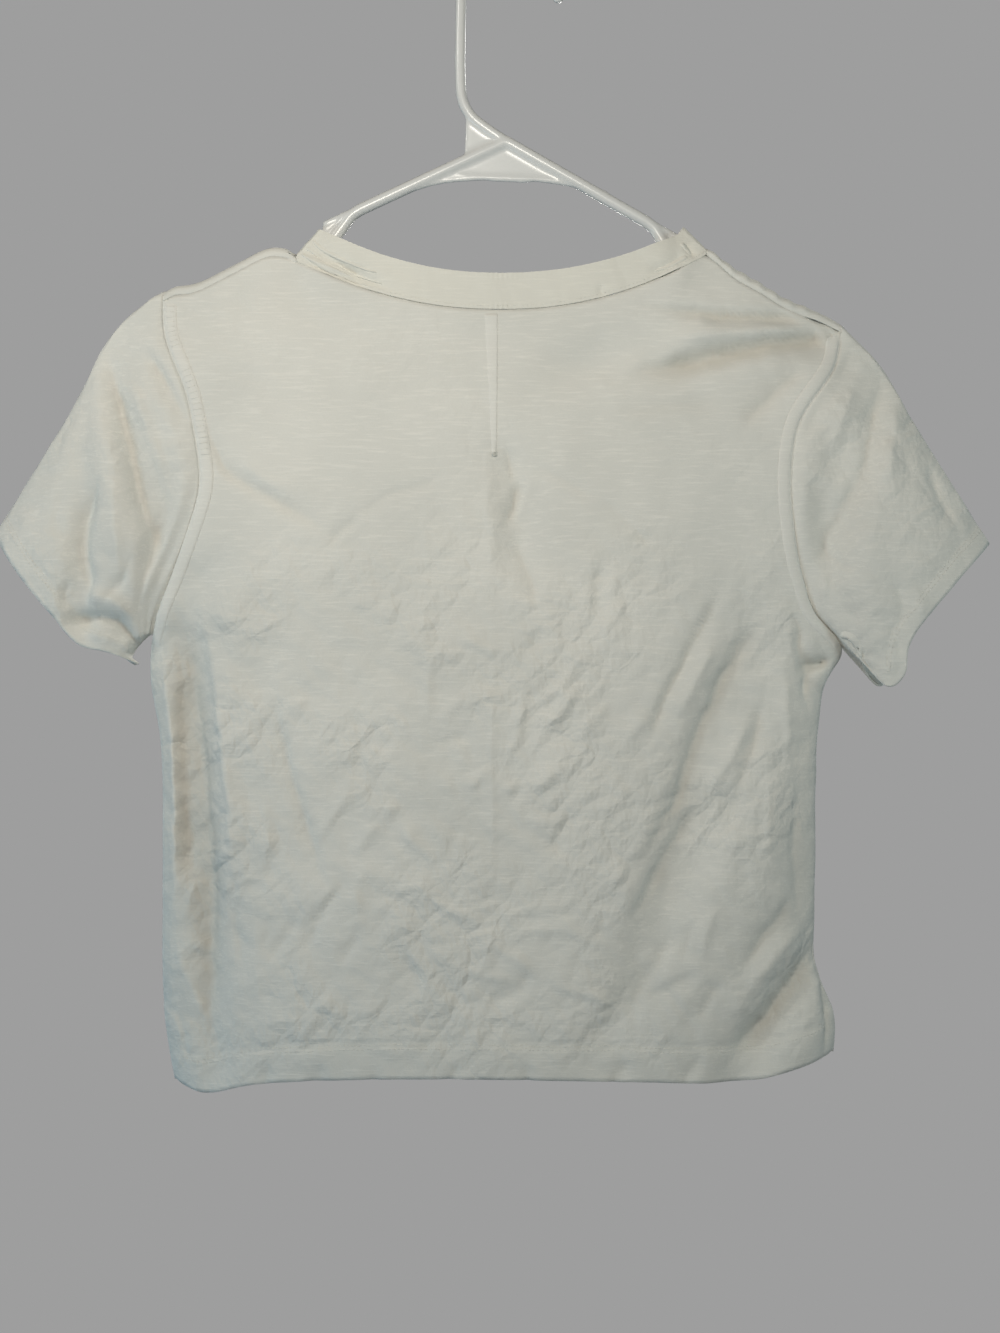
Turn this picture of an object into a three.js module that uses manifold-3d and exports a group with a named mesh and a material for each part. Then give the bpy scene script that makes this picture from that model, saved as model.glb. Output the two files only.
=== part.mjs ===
// Crew neck t-shirt with short sleeves, hanging on a moulded plastic clothes hanger.
//
// Millimetres, +Z up, +X to the wearer's right, +Y to the wearer's front. The origin is the inside
// top of the hanger's hook, where a rail carries it. Every cloth piece is first a sheet of quads:
// the sheets are sewn, which gives the pieces on a seam one common normal and a small gap, and
// then each sheet becomes a wall.
import * as THREE from "three";
import { mergeVertices } from "three/addons/utils/BufferGeometryUtils.js";
import Module from "manifold-3d";

const wasm = await Module();
wasm.setup();

// ---------------------------------------------------------------- driving dimensions

const CLOTH = 1.2; // jersey wall
const RIB = 2.0; // neckband, two layers of rib
const SEAM_GAP = 0.36; // between two pieces at a seam
const LAYER_GAP = 0.35; // between a layer and the panel that it lies on
const ALLOWANCE = 0.9; // thickness of a pressed seam allowance
const SEAM_END = 0.5; // how far a layer stays back from the seams at its ends

const UNDERARM = -434; // height of the underarm points
const HEM_HEIGHT = 21; // turned-up hem of the body
const SHOULDER_TURN = 6.4; // radius of the cloth where it turns over the hanger's arm
const ARMHOLE_DEPTH = 18; // greatest distance of the armhole seam from the middle plane
const CUFF_DEPTH = 23; // the same for the sleeve's open end
const SLEEVE_HEM = 0.86; // share of the sleeve's length where its hem begins

const NECK = { centre: -5.6, half: 126 };
const BACK_NECK = { side: -1, seam: -226.3, edge: -203.9, depth: 12, power: 2.15 };
const FRONT_NECK = { side: 1, seam: -283, edge: -261, depth: 17, power: 2.6 };
const BAND_NARROWING = 17; // how much nearer to the centre the band's edge meets the arm's side
const BAND_SLANT = 4.5; // how far outward the band's edge runs from there to the arm's top

const TUBE = 3.9; // radius of the hanger's arms
const HOOK_TUBE = 3.6; // radius of its hook
const HOOK_RADIUS = 30;
const HANGER_TILT = 2.4; // degrees, right side low, turned about the hook's centre
const JUNCTION = { x: 1.6, z: -93.7 }; // where the arms meet, from the hook's centre
const ARM_FALL = 0.5174; // fall of an arm for each millimetre outward
const ARM_REACH = 197; // length of an arm's straight stretch across
const BAR_DROP = 21; // the bottom bar lies this far below the arms' ends

// Each arm dips into a strap notch and runs on a little lower. out: distance from the junction.
const NOTCH = [
  { out: 93, drop: 0 },
  { out: 105, drop: 11 },
  { out: 112, drop: 15.6 },
  { out: 133, drop: 15.6 },
  { out: 142, drop: 8 },
  { out: 147, drop: 6.6 },
];

// The notch's inner lip is a bead on a fin. below: depth of the bead's line under the arm's top.
const LIP = { start: 88, end: 112, radius: 2.4, below: 2.9, fin: 2.6 };

// The hook and its shaft in the hanger's own frame, from the hook's centre down to the arms.
const HOOK_TIP = -3.3; // the hook's end lies this far past its half turn
const SHAFT = [[-30, -8], [-28.2, -58], [-26.6, -69], [-21.3, -78.3], [-14.8, -83.6]];

// The arch under the junction and the web that joins it to the arms, and the shaft's small web.
const ARCH = { left: -50, right: 56, crown: -117.8, radius: 1.7, web: 2.4 };
const SHAFT_WEB = [[-24.5, -80], [-23.8, -104.5], [-4, -96]];

// The outer corner between an arm and the bottom bar. out: from the arm's end, down: below it.
const CORNER = [
  { out: 0, down: 0 },
  { out: 5.5, down: 6 },
  { out: 6, down: 13.5 },
  { out: -1, down: 19.6 },
  { out: -18, down: BAR_DROP },
];

const SLEEVE_BULGE = 5; // the sleeve's middle stands this much further out than its two ends

// The centre back tuck reaches down over this many rows, and its share of the column narrows.
const TUCK = { rows: 5, top: 0.96, bottom: 0.36 };

// Panel edges by height: the armhole seam down to the underarm, then the side seam.
const EDGES = [
  { z: -150, left: -214, right: 204 },
  { z: -222, left: -214, right: 204 },
  { z: -234, left: -212, right: 203.5 },
  { z: -250, left: -203.5, right: 195 },
  { z: -272, left: -198.5, right: 183 },
  { z: -300, left: -194, right: 175.5 },
  { z: -332, left: -190, right: 172 },
  { z: -360, left: -197, right: 174 },
  { z: -388, left: -207.5, right: 179 },
  { z: -414, left: -217.5, right: 189 },
  { z: UNDERARM, left: -222.5, right: 206 },
  { z: -443, left: -224.5, right: 202.5 },
  { z: -453, left: -223, right: 197 },
  { z: -465, left: -221, right: 193.5 },
  { z: -500, left: -216.5, right: 190 },
  { z: -560, left: -215.5, right: 189.5 },
  { z: -630, left: -215.5, right: 190 },
  { z: -655, left: -214.5, right: 200 },
  { z: -675, left: -212, right: 201 },
  { z: -710, left: -206, right: 198 },
];

// Distance of each panel's middle from the middle plane, by height.
const DEPTHS = [
  { z: -170, back: 7, front: 7 },
  { z: -226, back: 12, front: 11 },
  { z: -300, back: 17, front: 18 },
  { z: -380, back: 22, front: 24 },
  { z: UNDERARM, back: 27, front: 28 },
  { z: -540, back: 35, front: 34 },
  { z: -620, back: 40, front: 38 },
  { z: -710, back: 43, front: 40 },
];

// Height of the hem's edge across the panels: s runs from the left side seam to the right one.
const HEMLINE = [
  { s: -1, back: -699, front: -699 },
  { s: -0.9, back: -705, front: -698 },
  { s: -0.72, back: -697, front: -694 },
  { s: -0.4, back: -692.5, front: -692 },
  { s: 0, back: -692, front: -692 },
  { s: 0.4, back: -694, front: -693 },
  { s: 0.72, back: -695.5, front: -694 },
  { s: 0.9, back: -688, front: -690 },
  { s: 1, back: -682, front: -682 },
];

// Height of the shoulder's ridge over the straight line along the arm's top, from neck to armhole.
const SHOULDER_LIFT = [
  { x: -214, lift: 2.2 },
  { x: -205, lift: 0.3 },
  { x: -192, lift: -3.2 },
  { x: -167, lift: -2.2 },
  { x: -148, lift: -2.6 },
  { x: -138, lift: -9.4 },
  { x: -131, lift: -12.8 },
  { x: -119, lift: -4.8 },
  { x: -114, lift: -2.5 },
  { x: 102, lift: 3 },
  { x: 107, lift: 5.2 },
  { x: 113, lift: 3.4 },
  { x: 120, lift: 0.4 },
  { x: 128, lift: -2.6 },
  { x: 150, lift: -3.2 },
  { x: 175, lift: -4 },
  { x: 188, lift: -0.5 },
  { x: 204, lift: 0.8 },
];

// Largest folds: a trough runs from (x1, z1) to (x2, z2), half the width away it has faded out.
// A negative depth is a ridge.
const BACK_FOLDS = [
  { x1: -190, z1: -400, x2: -192, z2: -560, width: 30, depth: 7 },
  { x1: -192, z1: -560, x2: -178, z2: -690, width: 28, depth: 6 },
  { x1: -176, z1: -420, x2: -176, z2: -560, width: 24, depth: -5 },
  { x1: 184, z1: -628, x2: 138, z2: -686, width: 26, depth: 9 },
  { x1: 196, z1: -650, x2: 176, z2: -690, width: 30, depth: -6 },
  { x1: 150, z1: -430, x2: 95, z2: -590, width: 44, depth: 6 },
  { x1: 186, z1: -520, x2: 183, z2: -610, width: 22, depth: 4 },
  { x1: 118, z1: -540, x2: 62, z2: -660, width: 36, depth: 5 },
  { x1: 2, z1: -326, x2: 10, z2: -372, width: 30, depth: 5 },
  { x1: 130, z1: -250, x2: 40, z2: -262, width: 30, depth: 4 },
];
const FRONT_FOLDS = [
  { x1: -165, z1: -430, x2: -110, z2: -600, width: 46, depth: 7 },
  { x1: 150, z1: -425, x2: 100, z2: -590, width: 44, depth: 7 },
  { x1: -186, z1: -560, x2: -170, z2: -690, width: 34, depth: 7 },
  { x1: 172, z1: -560, x2: 160, z2: -690, width: 34, depth: 7 },
  { x1: -60, z1: -560, x2: -50, z2: -690, width: 44, depth: 5 },
  { x1: 60, z1: -600, x2: 66, z2: -690, width: 40, depth: 5 },
  { x1: -40, z1: -300, x2: -130, z2: -380, width: 40, depth: 4 },
  { x1: 40, z1: -300, x2: 120, z2: -390, width: 40, depth: 4 },
];

// Sleeve outlines as seen from behind. fold: the top line from the shoulder to the cuff. cuff: its
// edge from the top to the underarm. under: how far the underarm seam runs out to the cuff.
const SLEEVES = {
  left: {
    edge: 0,
    fold: [[-214, -211], [-232, -224], [-248, -241], [-270, -284], [-295, -326], [-318, -362.5]],
    cuff: [[-318, -362.5], [-300, -388.5], [-280, -413], [-263, -432], [-246, -437], [-230, -443.5]],
    under: [[-222.5, UNDERARM], [-230, -443.5]],
    folds: [
      { x1: -246, z1: -246, x2: -212, z2: -372, width: 20, depth: 7 },
      { x1: -262, z1: -330, x2: -262, z2: -412, width: 20, depth: 5 },
      { x1: -222, z1: -240, x2: -198, z2: -292, width: 18, depth: 4 },
    ],
  },
  right: {
    edge: 1,
    fold: [[204, -229], [214, -239], [229, -255], [246, -285], [271, -327], [296.4, -368.5]],
    cuff: [[296.4, -368.5], [272, -394], [245, -428], [240, -453], [229, -457], [217, -441]],
    under: [[206, UNDERARM], [217, -441]],
    folds: [
      { x1: 226, z1: -252, x2: 190, z2: -372, width: 34, depth: 8 },
      { x1: 204, z1: -244, x2: 184, z2: -300, width: 18, depth: 4 },
      { x1: 268, z1: -322, x2: 282, z2: -362, width: 18, depth: 3 },
    ],
  },
};

// ---------------------------------------------------------------- curves and tables

// A smooth function through one column of a table whose rows are ordered by another.
function through(table, by, column) {
  const rows = [...table].sort((a, b) => a[by] - b[by]);
  const slope = (i) => {
    const a = rows[Math.max(0, i - 1)];
    const b = rows[Math.min(rows.length - 1, i + 1)];
    return (b[column] - a[column]) / (b[by] - a[by]);
  };
  return (at) => {
    if (at <= rows[0][by]) return rows[0][column];
    if (at >= rows.at(-1)[by]) return rows.at(-1)[column];
    const i = rows.findIndex((row) => row[by] > at) - 1;
    const span = rows[i + 1][by] - rows[i][by];
    const t = (at - rows[i][by]) / span;
    const bend = t * (1 - t);
    const straight = rows[i][column] * (1 - t) + rows[i + 1][column] * t;
    const chord = (rows[i + 1][column] - rows[i][column]) / span;
    return straight + span * bend * ((1 - t) * (slope(i) - chord) + t * (chord - slope(i + 1)));
  };
}

const point = (x, y, z) => new THREE.Vector3(x, y, z);
const mix = (a, b, t) => a + (b - a) * t;
const smooth = (t) => {
  const c = Math.min(1, Math.max(0, t));
  return c * c * (3 - 2 * c);
};

const edgeLeft = through(EDGES, "z", "left");
const edgeRight = through(EDGES, "z", "right");
const shoulderLift = through(SHOULDER_LIFT, "x", "lift");

// Depth of a fold's displacement at a point of a panel, seen from behind.
function folded(folds, x, z) {
  let sum = 0;
  for (const { x1, z1, x2, z2, width, depth } of folds) {
    const length = Math.hypot(x2 - x1, z2 - z1);
    const along = ((x - x1) * (x2 - x1) + (z - z1) * (z2 - z1)) / length ** 2;
    const aside = ((x - x1) * (z2 - z1) - (z - z1) * (x2 - x1)) / length;
    const past = Math.max(0, -along, along - 1) * length;
    sum += depth * Math.exp(-((aside / (width / 2.4)) ** 2) - (past / (width / 1.6)) ** 2);
  }
  return sum;
}

// ---------------------------------------------------------------- the hanger's lines

const notchDrop = through(NOTCH, "out", "drop");
const TILT = THREE.MathUtils.degToRad(HANGER_TILT);
const HOOK_CENTRE = HOOK_TUBE - HOOK_RADIUS; // below the origin

// Height of an arm's centre line in the hanger's own frame. side: -1 left, 1 right.
const armLine = (out) => JUNCTION.z - ARM_FALL * out;
const armPoint = (side, out) =>
  point(JUNCTION.x + side * out, 0, armLine(out) - notchDrop(out));

// The shoulder's ridge over the tilted arm, at a place across the garment.
function ridge(x) {
  const apexX = JUNCTION.x * Math.cos(TILT) + JUNCTION.z * Math.sin(TILT);
  const apexZ = HOOK_CENTRE + JUNCTION.z * Math.cos(TILT) - JUNCTION.x * Math.sin(TILT);
  const angle = Math.atan(ARM_FALL) + TILT * Math.sign(x - apexX);
  const top = apexZ - Math.abs(x - apexX) * Math.tan(angle) + TUBE / Math.cos(angle);
  return top + shoulderLift(x);
}

// ---------------------------------------------------------------- sheets

// A sheet holds points and quads of point numbers, wound with the outside in front.
class Sheet {
  constructor(rows, { closed = false, flip = false, thickness = CLOTH } = {}) {
    this.thickness = thickness;
    this.points = [];
    this.quads = [];
    this.ids = rows.map((row) => row.map((p) => (p ? this.points.push(p.clone()) - 1 : -1)));
    const last = this.ids[0].length - (closed ? 0 : 1);
    for (let i = 0; i + 1 < this.ids.length; i++)
      for (let j = 0; j < last; j++) {
        const k = (j + 1) % this.ids[0].length;
        const quad = [this.ids[i][j], this.ids[i + 1][j], this.ids[i + 1][k], this.ids[i][k]];
        if (quad.includes(-1)) continue;
        this.quads.push(flip ? quad.reverse() : quad);
      }
    this.normals = this.points.map(() => point(0, 0, 0));
    for (const quad of this.quads) {
      const [a, b, c, d] = quad.map((id) => this.points[id]);
      const normal = c.clone().sub(a).cross(d.clone().sub(b));
      for (const id of quad) this.normals[id].add(normal);
    }
    this.normals.forEach((n) => n.normalize());
  }

  // The edges that belong to one quad only, as pairs of point numbers in the quad's direction.
  rim() {
    const seen = new Map();
    for (const quad of this.quads)
      quad.forEach((a, i) => seen.set(a + "," + quad[(i + 1) % 4], [a, quad[(i + 1) % 4]]));
    return [...seen.values()].filter(([a, b]) => !seen.has(b + "," + a));
  }
}

// Sews the sheets: points that lie together share one normal, and each steps back from the seam.
function sew(sheets) {
  const places = new Map();
  for (const sheet of sheets)
    sheet.points.forEach((p, id) => {
      const key = [p.x, p.y, p.z].map((v) => Math.round(v * 20)).join(); // to 0.05 mm
      if (!places.has(key)) places.set(key, []);
      places.get(key).push({ sheet, id });
    });
  const moves = [];
  for (const met of places.values()) {
    if (met.length < 2) continue;
    const normal = met.reduce((sum, { sheet, id }) => sum.add(sheet.normals[id]), point(0, 0, 0));
    for (const { sheet, id } of met) moves.push({ sheet, id, normal: normal.clone().normalize() });
  }
  for (const move of moves) {
    const { sheet, id, normal } = move;
    const met = new Set(moves.filter((other) => other.sheet === sheet).map((other) => other.id));
    const seam = point(0, 0, 0);
    for (const [a, b] of sheet.rim())
      if ((a === id || b === id) && met.has(a) && met.has(b))
        seam.add(sheet.points[b].clone().sub(sheet.points[a]).normalize());
    // The rim runs with the sheet's face on its left.
    move.step = normal.clone().cross(seam).setLength(SEAM_GAP / 2);
  }
  for (const { sheet, id, normal, step } of moves) {
    sheet.points[id].add(step);
    sheet.normals[id].copy(normal);
  }
}

// A closed wall between two offsets from a sheet, measured along its normals.
function wall(sheet, outer = 0, inner = -sheet.thickness) {
  const count = sheet.points.length;
  const positions = [];
  for (const offset of [outer, inner])
    sheet.points.forEach((p, id) =>
      positions.push(...p.clone().addScaledVector(sheet.normals[id], offset).toArray()),
    );
  const index = [];
  const quad = (a, b, c, d) => index.push(a, b, c, a, c, d);
  for (const [a, b, c, d] of sheet.quads) {
    quad(a, b, c, d);
    quad(a + count, d + count, c + count, b + count);
  }
  // Two walls that meet on a seam split their end faces along the same diagonal.
  const rank = (id) => sheet.points[id].z + sheet.points[id].x / 3;
  for (const [a, b] of sheet.rim())
    if (rank(a) > rank(b)) quad(b, a, a + count, b + count);
    else quad(a, a + count, b + count, b);
  const geometry = new THREE.BufferGeometry();
  geometry.setAttribute("position", new THREE.Float32BufferAttribute(positions, 3));
  return geometry.setIndex(index);
}

// ---------------------------------------------------------------- neckline

// A point of the neckline between the shoulders. along: 0 on the seam, 1 on the band's free edge.
function neckPoint(neck, x, along) {
  const half = NECK.half - along * BAND_NARROWING;
  const share = Math.min(1, Math.abs(x - NECK.centre) / half);
  const corner = turnPoint(NECK.centre + Math.sign(x - NECK.centre) * half, neck.side);
  const low = mix(neck.seam, neck.edge, along);
  const leave = Math.sqrt(1 - share ** 8); // the cloth leaves the arm's side quickly
  return point(
    x,
    neck.side * mix(SHOULDER_TURN, neck.depth, leave),
    mix(low, corner.z, share ** neck.power),
  );
}

// A point where the cloth turns over the hanger's arm. turn: -1 behind it, 0 on top, 1 in front.
function turnPoint(x, turn, slant = 0) {
  const angle = (turn * Math.PI) / 2;
  const top = x + Math.sign(x - NECK.centre) * slant * Math.cos(angle);
  return point(
    top,
    SHOULDER_TURN * Math.sin(angle),
    ridge(top) - SHOULDER_TURN * (1 - Math.cos(angle)),
  );
}

// ---------------------------------------------------------------- body panels

const TURNS = [-1, -0.55, 0, 0.55, 1];
const ARMHOLE_ROWS = 11;
const SIDE_ROWS = 12;
const EDGE_COLUMNS = [0.952, 0.976, 0.994, 1]; // the rounded side, where the armhole seam lies
const NECK_COLUMN = 0.603; // the column that meets the neckband on the shoulder
const SHOULDER_COLUMNS = [NECK_COLUMN, 0.68, 0.76, 0.83, 0.9];
const BACK_COLUMNS = [0.022, 0.1, 0.19, 0.28, 0.37, 0.45, 0.53, ...SHOULDER_COLUMNS];
const FRONT_COLUMNS = [0.05, 0.18, 0.31, 0.42, 0.52, ...SHOULDER_COLUMNS];

// Both halves of a panel's columns, from its left edge to its right edge.
function columnsOf(half) {
  const right = [...half, ...EDGE_COLUMNS];
  return [...right.map((s) => -s).reverse(), ...right];
}

const across = (s, z) => mix(edgeLeft(z), edgeRight(z), (s + 1) / 2);

// How far the armhole seam lies from the middle plane. q: 0 at the shoulder, 1 at the underarm.
const armholeDepth = (q) => ARMHOLE_DEPTH * Math.sqrt(Math.sin(Math.PI * q ** 0.9));

function panelRows({ side, neck, columns, folds, depthColumn }) {
  const depth = through(DEPTHS, "z", depthColumn);
  const hem = through(HEMLINE, "s", depthColumn);
  const cornerAt = (s) => NECK.centre + Math.sign(s) * NECK.half;
  const topOf = (s) => {
    const size = Math.abs(s);
    if (size <= NECK_COLUMN)
      return neckPoint(neck, NECK.centre + (s / NECK_COLUMN) * NECK.half, 0);
    const t = (size - NECK_COLUMN) / (1 - NECK_COLUMN);
    return turnPoint(mix(cornerAt(s), s < 0 ? edgeLeft(-200) : edgeRight(-200), t), side);
  };
  const place = (s, top, z, down) => {
    const edge = Math.max(0, Math.min(1, (top.z - z) / (top.z - UNDERARM)));
    const rim = z > UNDERARM + 0.01 ? armholeDepth(Math.max(edge, 0.02)) : 0;
    const crown = Math.sqrt(1 - Math.abs(s) ** 2.4);
    const full = mix(rim, depth(z), crown) - folded(folds, across(s, z), z) * crown;
    // Columns start where the top edge is and drift over to their share of the width below it.
    const x = mix(top.x, across(s, z), smooth(down * 3));
    return point(x, side * mix(Math.abs(top.y), full, smooth(down * 6)), z);
  };
  const rows = [];
  for (let i = 0; i <= ARMHOLE_ROWS; i++)
    rows.push(
      columns.map((s) => {
        const top = topOf(s);
        const down = i / ARMHOLE_ROWS;
        return place(s, top, mix(top.z, UNDERARM, down), down);
      }),
    );
  for (let i = 1; i <= SIDE_ROWS + 1; i++)
    rows.push(
      columns.map((s) => {
        const fold = hem(s) + HEM_HEIGHT;
        const z = i > SIDE_ROWS ? hem(s) : mix(UNDERARM, fold, i / SIDE_ROWS);
        return place(s, topOf(s), z, 1);
      }),
    );
  return rows;
}

const backRows = panelRows({
  side: -1,
  neck: BACK_NECK,
  columns: columnsOf(BACK_COLUMNS),
  folds: BACK_FOLDS,
  depthColumn: "back",
});
const frontRows = panelRows({
  side: 1,
  neck: FRONT_NECK,
  columns: columnsOf(FRONT_COLUMNS),
  folds: FRONT_FOLDS,
  depthColumn: "front",
});

// The front reaches over the shoulder to the seam behind the hanger's arm.
const shoulderTurns = TURNS.slice(0, -1).map((turn) =>
  frontRows[0].map((p) => {
    const inNeck = Math.abs(p.x - NECK.centre) < NECK.half - 0.01;
    return inNeck ? null : turnPoint(p.x, turn);
  }),
);

// ---------------------------------------------------------------- neckband

// The neckline's points once round: back from left to right, over the arm, front, over the arm.
function neckRing(along) {
  const half = NECK.half - along * BAND_NARROWING;
  const backXs = columnsOf(BACK_COLUMNS).filter((s) => Math.abs(s) < NECK_COLUMN);
  const frontXs = columnsOf(FRONT_COLUMNS).filter((s) => Math.abs(s) < NECK_COLUMN);
  const at = (s) => NECK.centre + (s / NECK_COLUMN) * half;
  return [
    ...TURNS.map((turn) => turnPoint(NECK.centre - half, turn, along * BAND_SLANT)).reverse(),
    ...backXs.map((s) => neckPoint(BACK_NECK, at(s), along)),
    ...TURNS.map((turn) => turnPoint(NECK.centre + half, turn, along * BAND_SLANT)),
    ...frontXs.map((s) => neckPoint(FRONT_NECK, at(s), along)).reverse(),
  ];
}

// ---------------------------------------------------------------- sleeves

// A smooth line through a few points of an outline, as (share of its length) to [x, z].
function outline(points) {
  const curve = new THREE.SplineCurve(points.map(([x, z]) => new THREE.Vector2(x, z)));
  return (t) => {
    const { x, y } = curve.getPointAt(Math.min(1, Math.max(0, t)));
    return [x, y];
  };
}

const SLEEVE_SHARES = [0, 0.1, 0.24, 0.39, 0.54, 0.7, SLEEVE_HEM, 1];

function sleeveRows({ edge, fold, cuff, under, folds }) {
  const backSide = backRows.slice(0, ARMHOLE_ROWS + 1).map((row) => row.at(edge ? -1 : 0));
  const frontSide = frontRows.slice(0, ARMHOLE_ROWS + 1).map((row) => row.at(edge ? -1 : 0));
  const turns = TURNS.slice(1, -1).map((turn) => turnPoint(backSide[0].x, turn));
  const armhole = [...backSide, ...frontSide.slice(0, -1).reverse(), ...turns.reverse()];
  const top = Math.max(...armhole.map((p) => p.z));
  const [foldLine, cuffLine, underLine] = [fold, cuff, under].map(outline);
  const pairMix = (a, b, t) => [mix(a[0], b[0], t), mix(a[1], b[1], t)];
  return SLEEVE_SHARES.map((p) =>
    armhole.map((start) => {
      const q = (top - start.z) / (top - UNDERARM);
      const lineAcross = pairMix([start.x, start.z], cuffLine(q), p);
      const lineAlong = pairMix(foldLine(p), underLine(p), q);
      const corners = pairMix(
        pairMix(foldLine(0), foldLine(1), p),
        pairMix(underLine(0), underLine(1), p),
        q,
      );
      const [x, z] = [0, 1].map((k) => lineAcross[k] + lineAlong[k] - corners[k]);
      const side = Math.sign(start.y);
      const cuffDepth = CUFF_DEPTH * Math.sqrt(Math.max(0, Math.sin(Math.PI * q ** 0.8)));
      const bulge = SLEEVE_BULGE * Math.sin(Math.PI * p) * Math.sin(Math.PI * q);
      const trough = folded(folds, x, z) * smooth(p * 4) * Math.sin(Math.PI * q) ** 0.5;
      const away = Math.max(0, mix(Math.abs(start.y), cuffDepth, p) + bulge - trough);
      return p === 0 ? start.clone() : point(x, side * away, z);
    }),
  );
}

// ---------------------------------------------------------------- hanger

const flat = (x, z) => point(x, 0, z);

function tube(points, radius, steps, halfSides = 6) {
  const section = new THREE.Shape();
  section.absarc(0, 0, radius, 0, 2 * Math.PI, false);
  return new THREE.ExtrudeGeometry(section, {
    extrudePath: new THREE.CatmullRomCurve3(points, false, "centripetal"),
    steps,
    curveSegments: halfSides,
  });
}

// A flat web between the tubes, from an outline in the hanger's plane.
function web(points, thickness) {
  const shape = new THREE.Shape(points.map(([x, z]) => new THREE.Vector2(x, z)));
  const plate = new THREE.ExtrudeGeometry(shape, { depth: thickness, bevelEnabled: false });
  return plate.rotateX(Math.PI / 2).translate(0, thickness / 2, 0);
}

function solid(geometry) {
  const plain = geometry.clone();
  plain.deleteAttribute("normal");
  plain.deleteAttribute("uv");
  const merged = mergeVertices(plain, 1e-3);
  return new wasm.Manifold(
    new wasm.Mesh({
      numProp: 3,
      vertProperties: merged.attributes.position.array,
      triVerts: new Uint32Array(merged.index.array),
    }),
  );
}

function geometryOf(manifold) {
  const { vertProperties, triVerts } = manifold.getMesh();
  const geometry = new THREE.BufferGeometry();
  geometry.setAttribute("position", new THREE.BufferAttribute(vertProperties, 3));
  return geometry.setIndex(new THREE.BufferAttribute(triVerts, 1));
}

function hangerGeometry() {
  const hook = [];
  for (let degrees = 0; degrees <= 180; degrees += 20) {
    const angle = THREE.MathUtils.degToRad(degrees);
    hook.push(flat(HOOK_RADIUS * Math.cos(angle), HOOK_RADIUS * Math.sin(angle)));
  }
  const tip = flat(HOOK_RADIUS, HOOK_TIP);
  const shaft = SHAFT.map(([x, z]) => flat(x, z));
  const stem = [tip, ...hook, ...shaft, flat(JUNCTION.x, JUNCTION.z), armPoint(1, 12)];
  const arm = (side) => {
    const points = [];
    for (let out = 1; out <= ARM_REACH; out += 4.9) points.push(armPoint(side, out));
    return points;
  };
  const corner = (side) => {
    const { x, z } = armPoint(side, ARM_REACH);
    return CORNER.map(({ out, down }) => flat(x + side * out, z - down));
  };
  const bar = flat(JUNCTION.x, armPoint(1, ARM_REACH).z - BAR_DROP);
  const half = (side) => [flat(JUNCTION.x, JUNCTION.z), ...arm(side), ...corner(side), bar];
  const lip = (side) => {
    const top = (out, below) => [JUNCTION.x + side * out, armLine(out) + TUBE - below];
    const bead = [LIP.start, LIP.end - LIP.radius].map((out) => flat(...top(out, LIP.below)));
    const fin = [top(90, 3), top(LIP.end, 4), top(LIP.end, 20), top(103, 16)];
    return [
      tube(bead, LIP.radius, 3, 4),
      new THREE.SphereGeometry(LIP.radius, 8, 6).translate(bead[1].x, 0, bead[1].z),
      web(fin, LIP.fin),
    ];
  };
  const archPoints = [-1, -0.6, -0.2, 0.2, 0.6, 1].map((t) => {
    const x = mix(ARCH.left, ARCH.right, (t + 1) / 2);
    const foot = armLine(Math.abs(x - JUNCTION.x)) - 1.5;
    return [x, mix(ARCH.crown, foot, t * t)];
  });
  const pieces = [
    tube(stem, HOOK_TUBE, 48),
    tube(half(-1), TUBE, 72),
    tube(half(1), TUBE, 72),
    new THREE.SphereGeometry(HOOK_TUBE, 10, 8).translate(tip.x, 0, tip.z),
    tube(archPoints.map(([x, z]) => flat(x, z)), ARCH.radius, 10, 4),
    web([[JUNCTION.x, JUNCTION.z], ...archPoints], ARCH.web),
    web(SHAFT_WEB, ARCH.web),
    ...lip(-1),
    ...lip(1),
  ];
  return geometryOf(pieces.map(solid).reduce((whole, piece) => whole.add(piece)));
}

// ---------------------------------------------------------------- the object

const jersey = new THREE.MeshStandardMaterial({ color: 0xe8e5d8, roughness: 0.92, metalness: 0 });
const rib = new THREE.MeshStandardMaterial({ color: 0xebe7d6, roughness: 0.95, metalness: 0 });
const plastic = new THREE.MeshStandardMaterial({ color: 0xf2f3f2, roughness: 0.35, metalness: 0 });

const back = new Sheet(backRows);
const front = new Sheet([...shoulderTurns, ...frontRows], { flip: true });
const neckband = new Sheet([neckRing(1), neckRing(0)], { closed: true, thickness: RIB });
const leftSleeve = new Sheet(sleeveRows(SLEEVES.left), { closed: true });
const rightSleeve = new Sheet(sleeveRows(SLEEVES.right), { closed: true, flip: true });
sew([back, front, neckband, leftSleeve, rightSleeve]);

// A layer that lies on part of a sheet, made from the sheet's own points and normals.
function layerOf(sheet, keep, outer, inner, pull = 0) {
  const ids = sheet.ids.map((row, i) => row.map((id, j) => (keep(i, j) ? id : -1)));
  const rows = ids.map((row) => row.map((id) => (id < 0 ? null : sheet.points[id])));
  const used = rows.filter((row) => row.some(Boolean));
  const closed = sheet.quads.length === (sheet.ids.length - 1) * sheet.ids[0].length;
  const layer = new Sheet(used, { closed });
  const given = ids.flat().filter((id) => id >= 0);
  layer.normals = given.map((id) => sheet.normals[id].clone());
  const facing = layer.quads[0].map((id) => layer.points[id]);
  const diagonal = facing[2].clone().sub(facing[0]);
  const otherDiagonal = facing[3].clone().sub(facing[1]);
  if (diagonal.cross(otherDiagonal).dot(layer.normals[layer.quads[0][0]]) < 0)
    layer.quads.forEach((quad) => quad.reverse());
  if (pull) shorten(layer, pull);
  return wall(layer, outer, inner);
}

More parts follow.
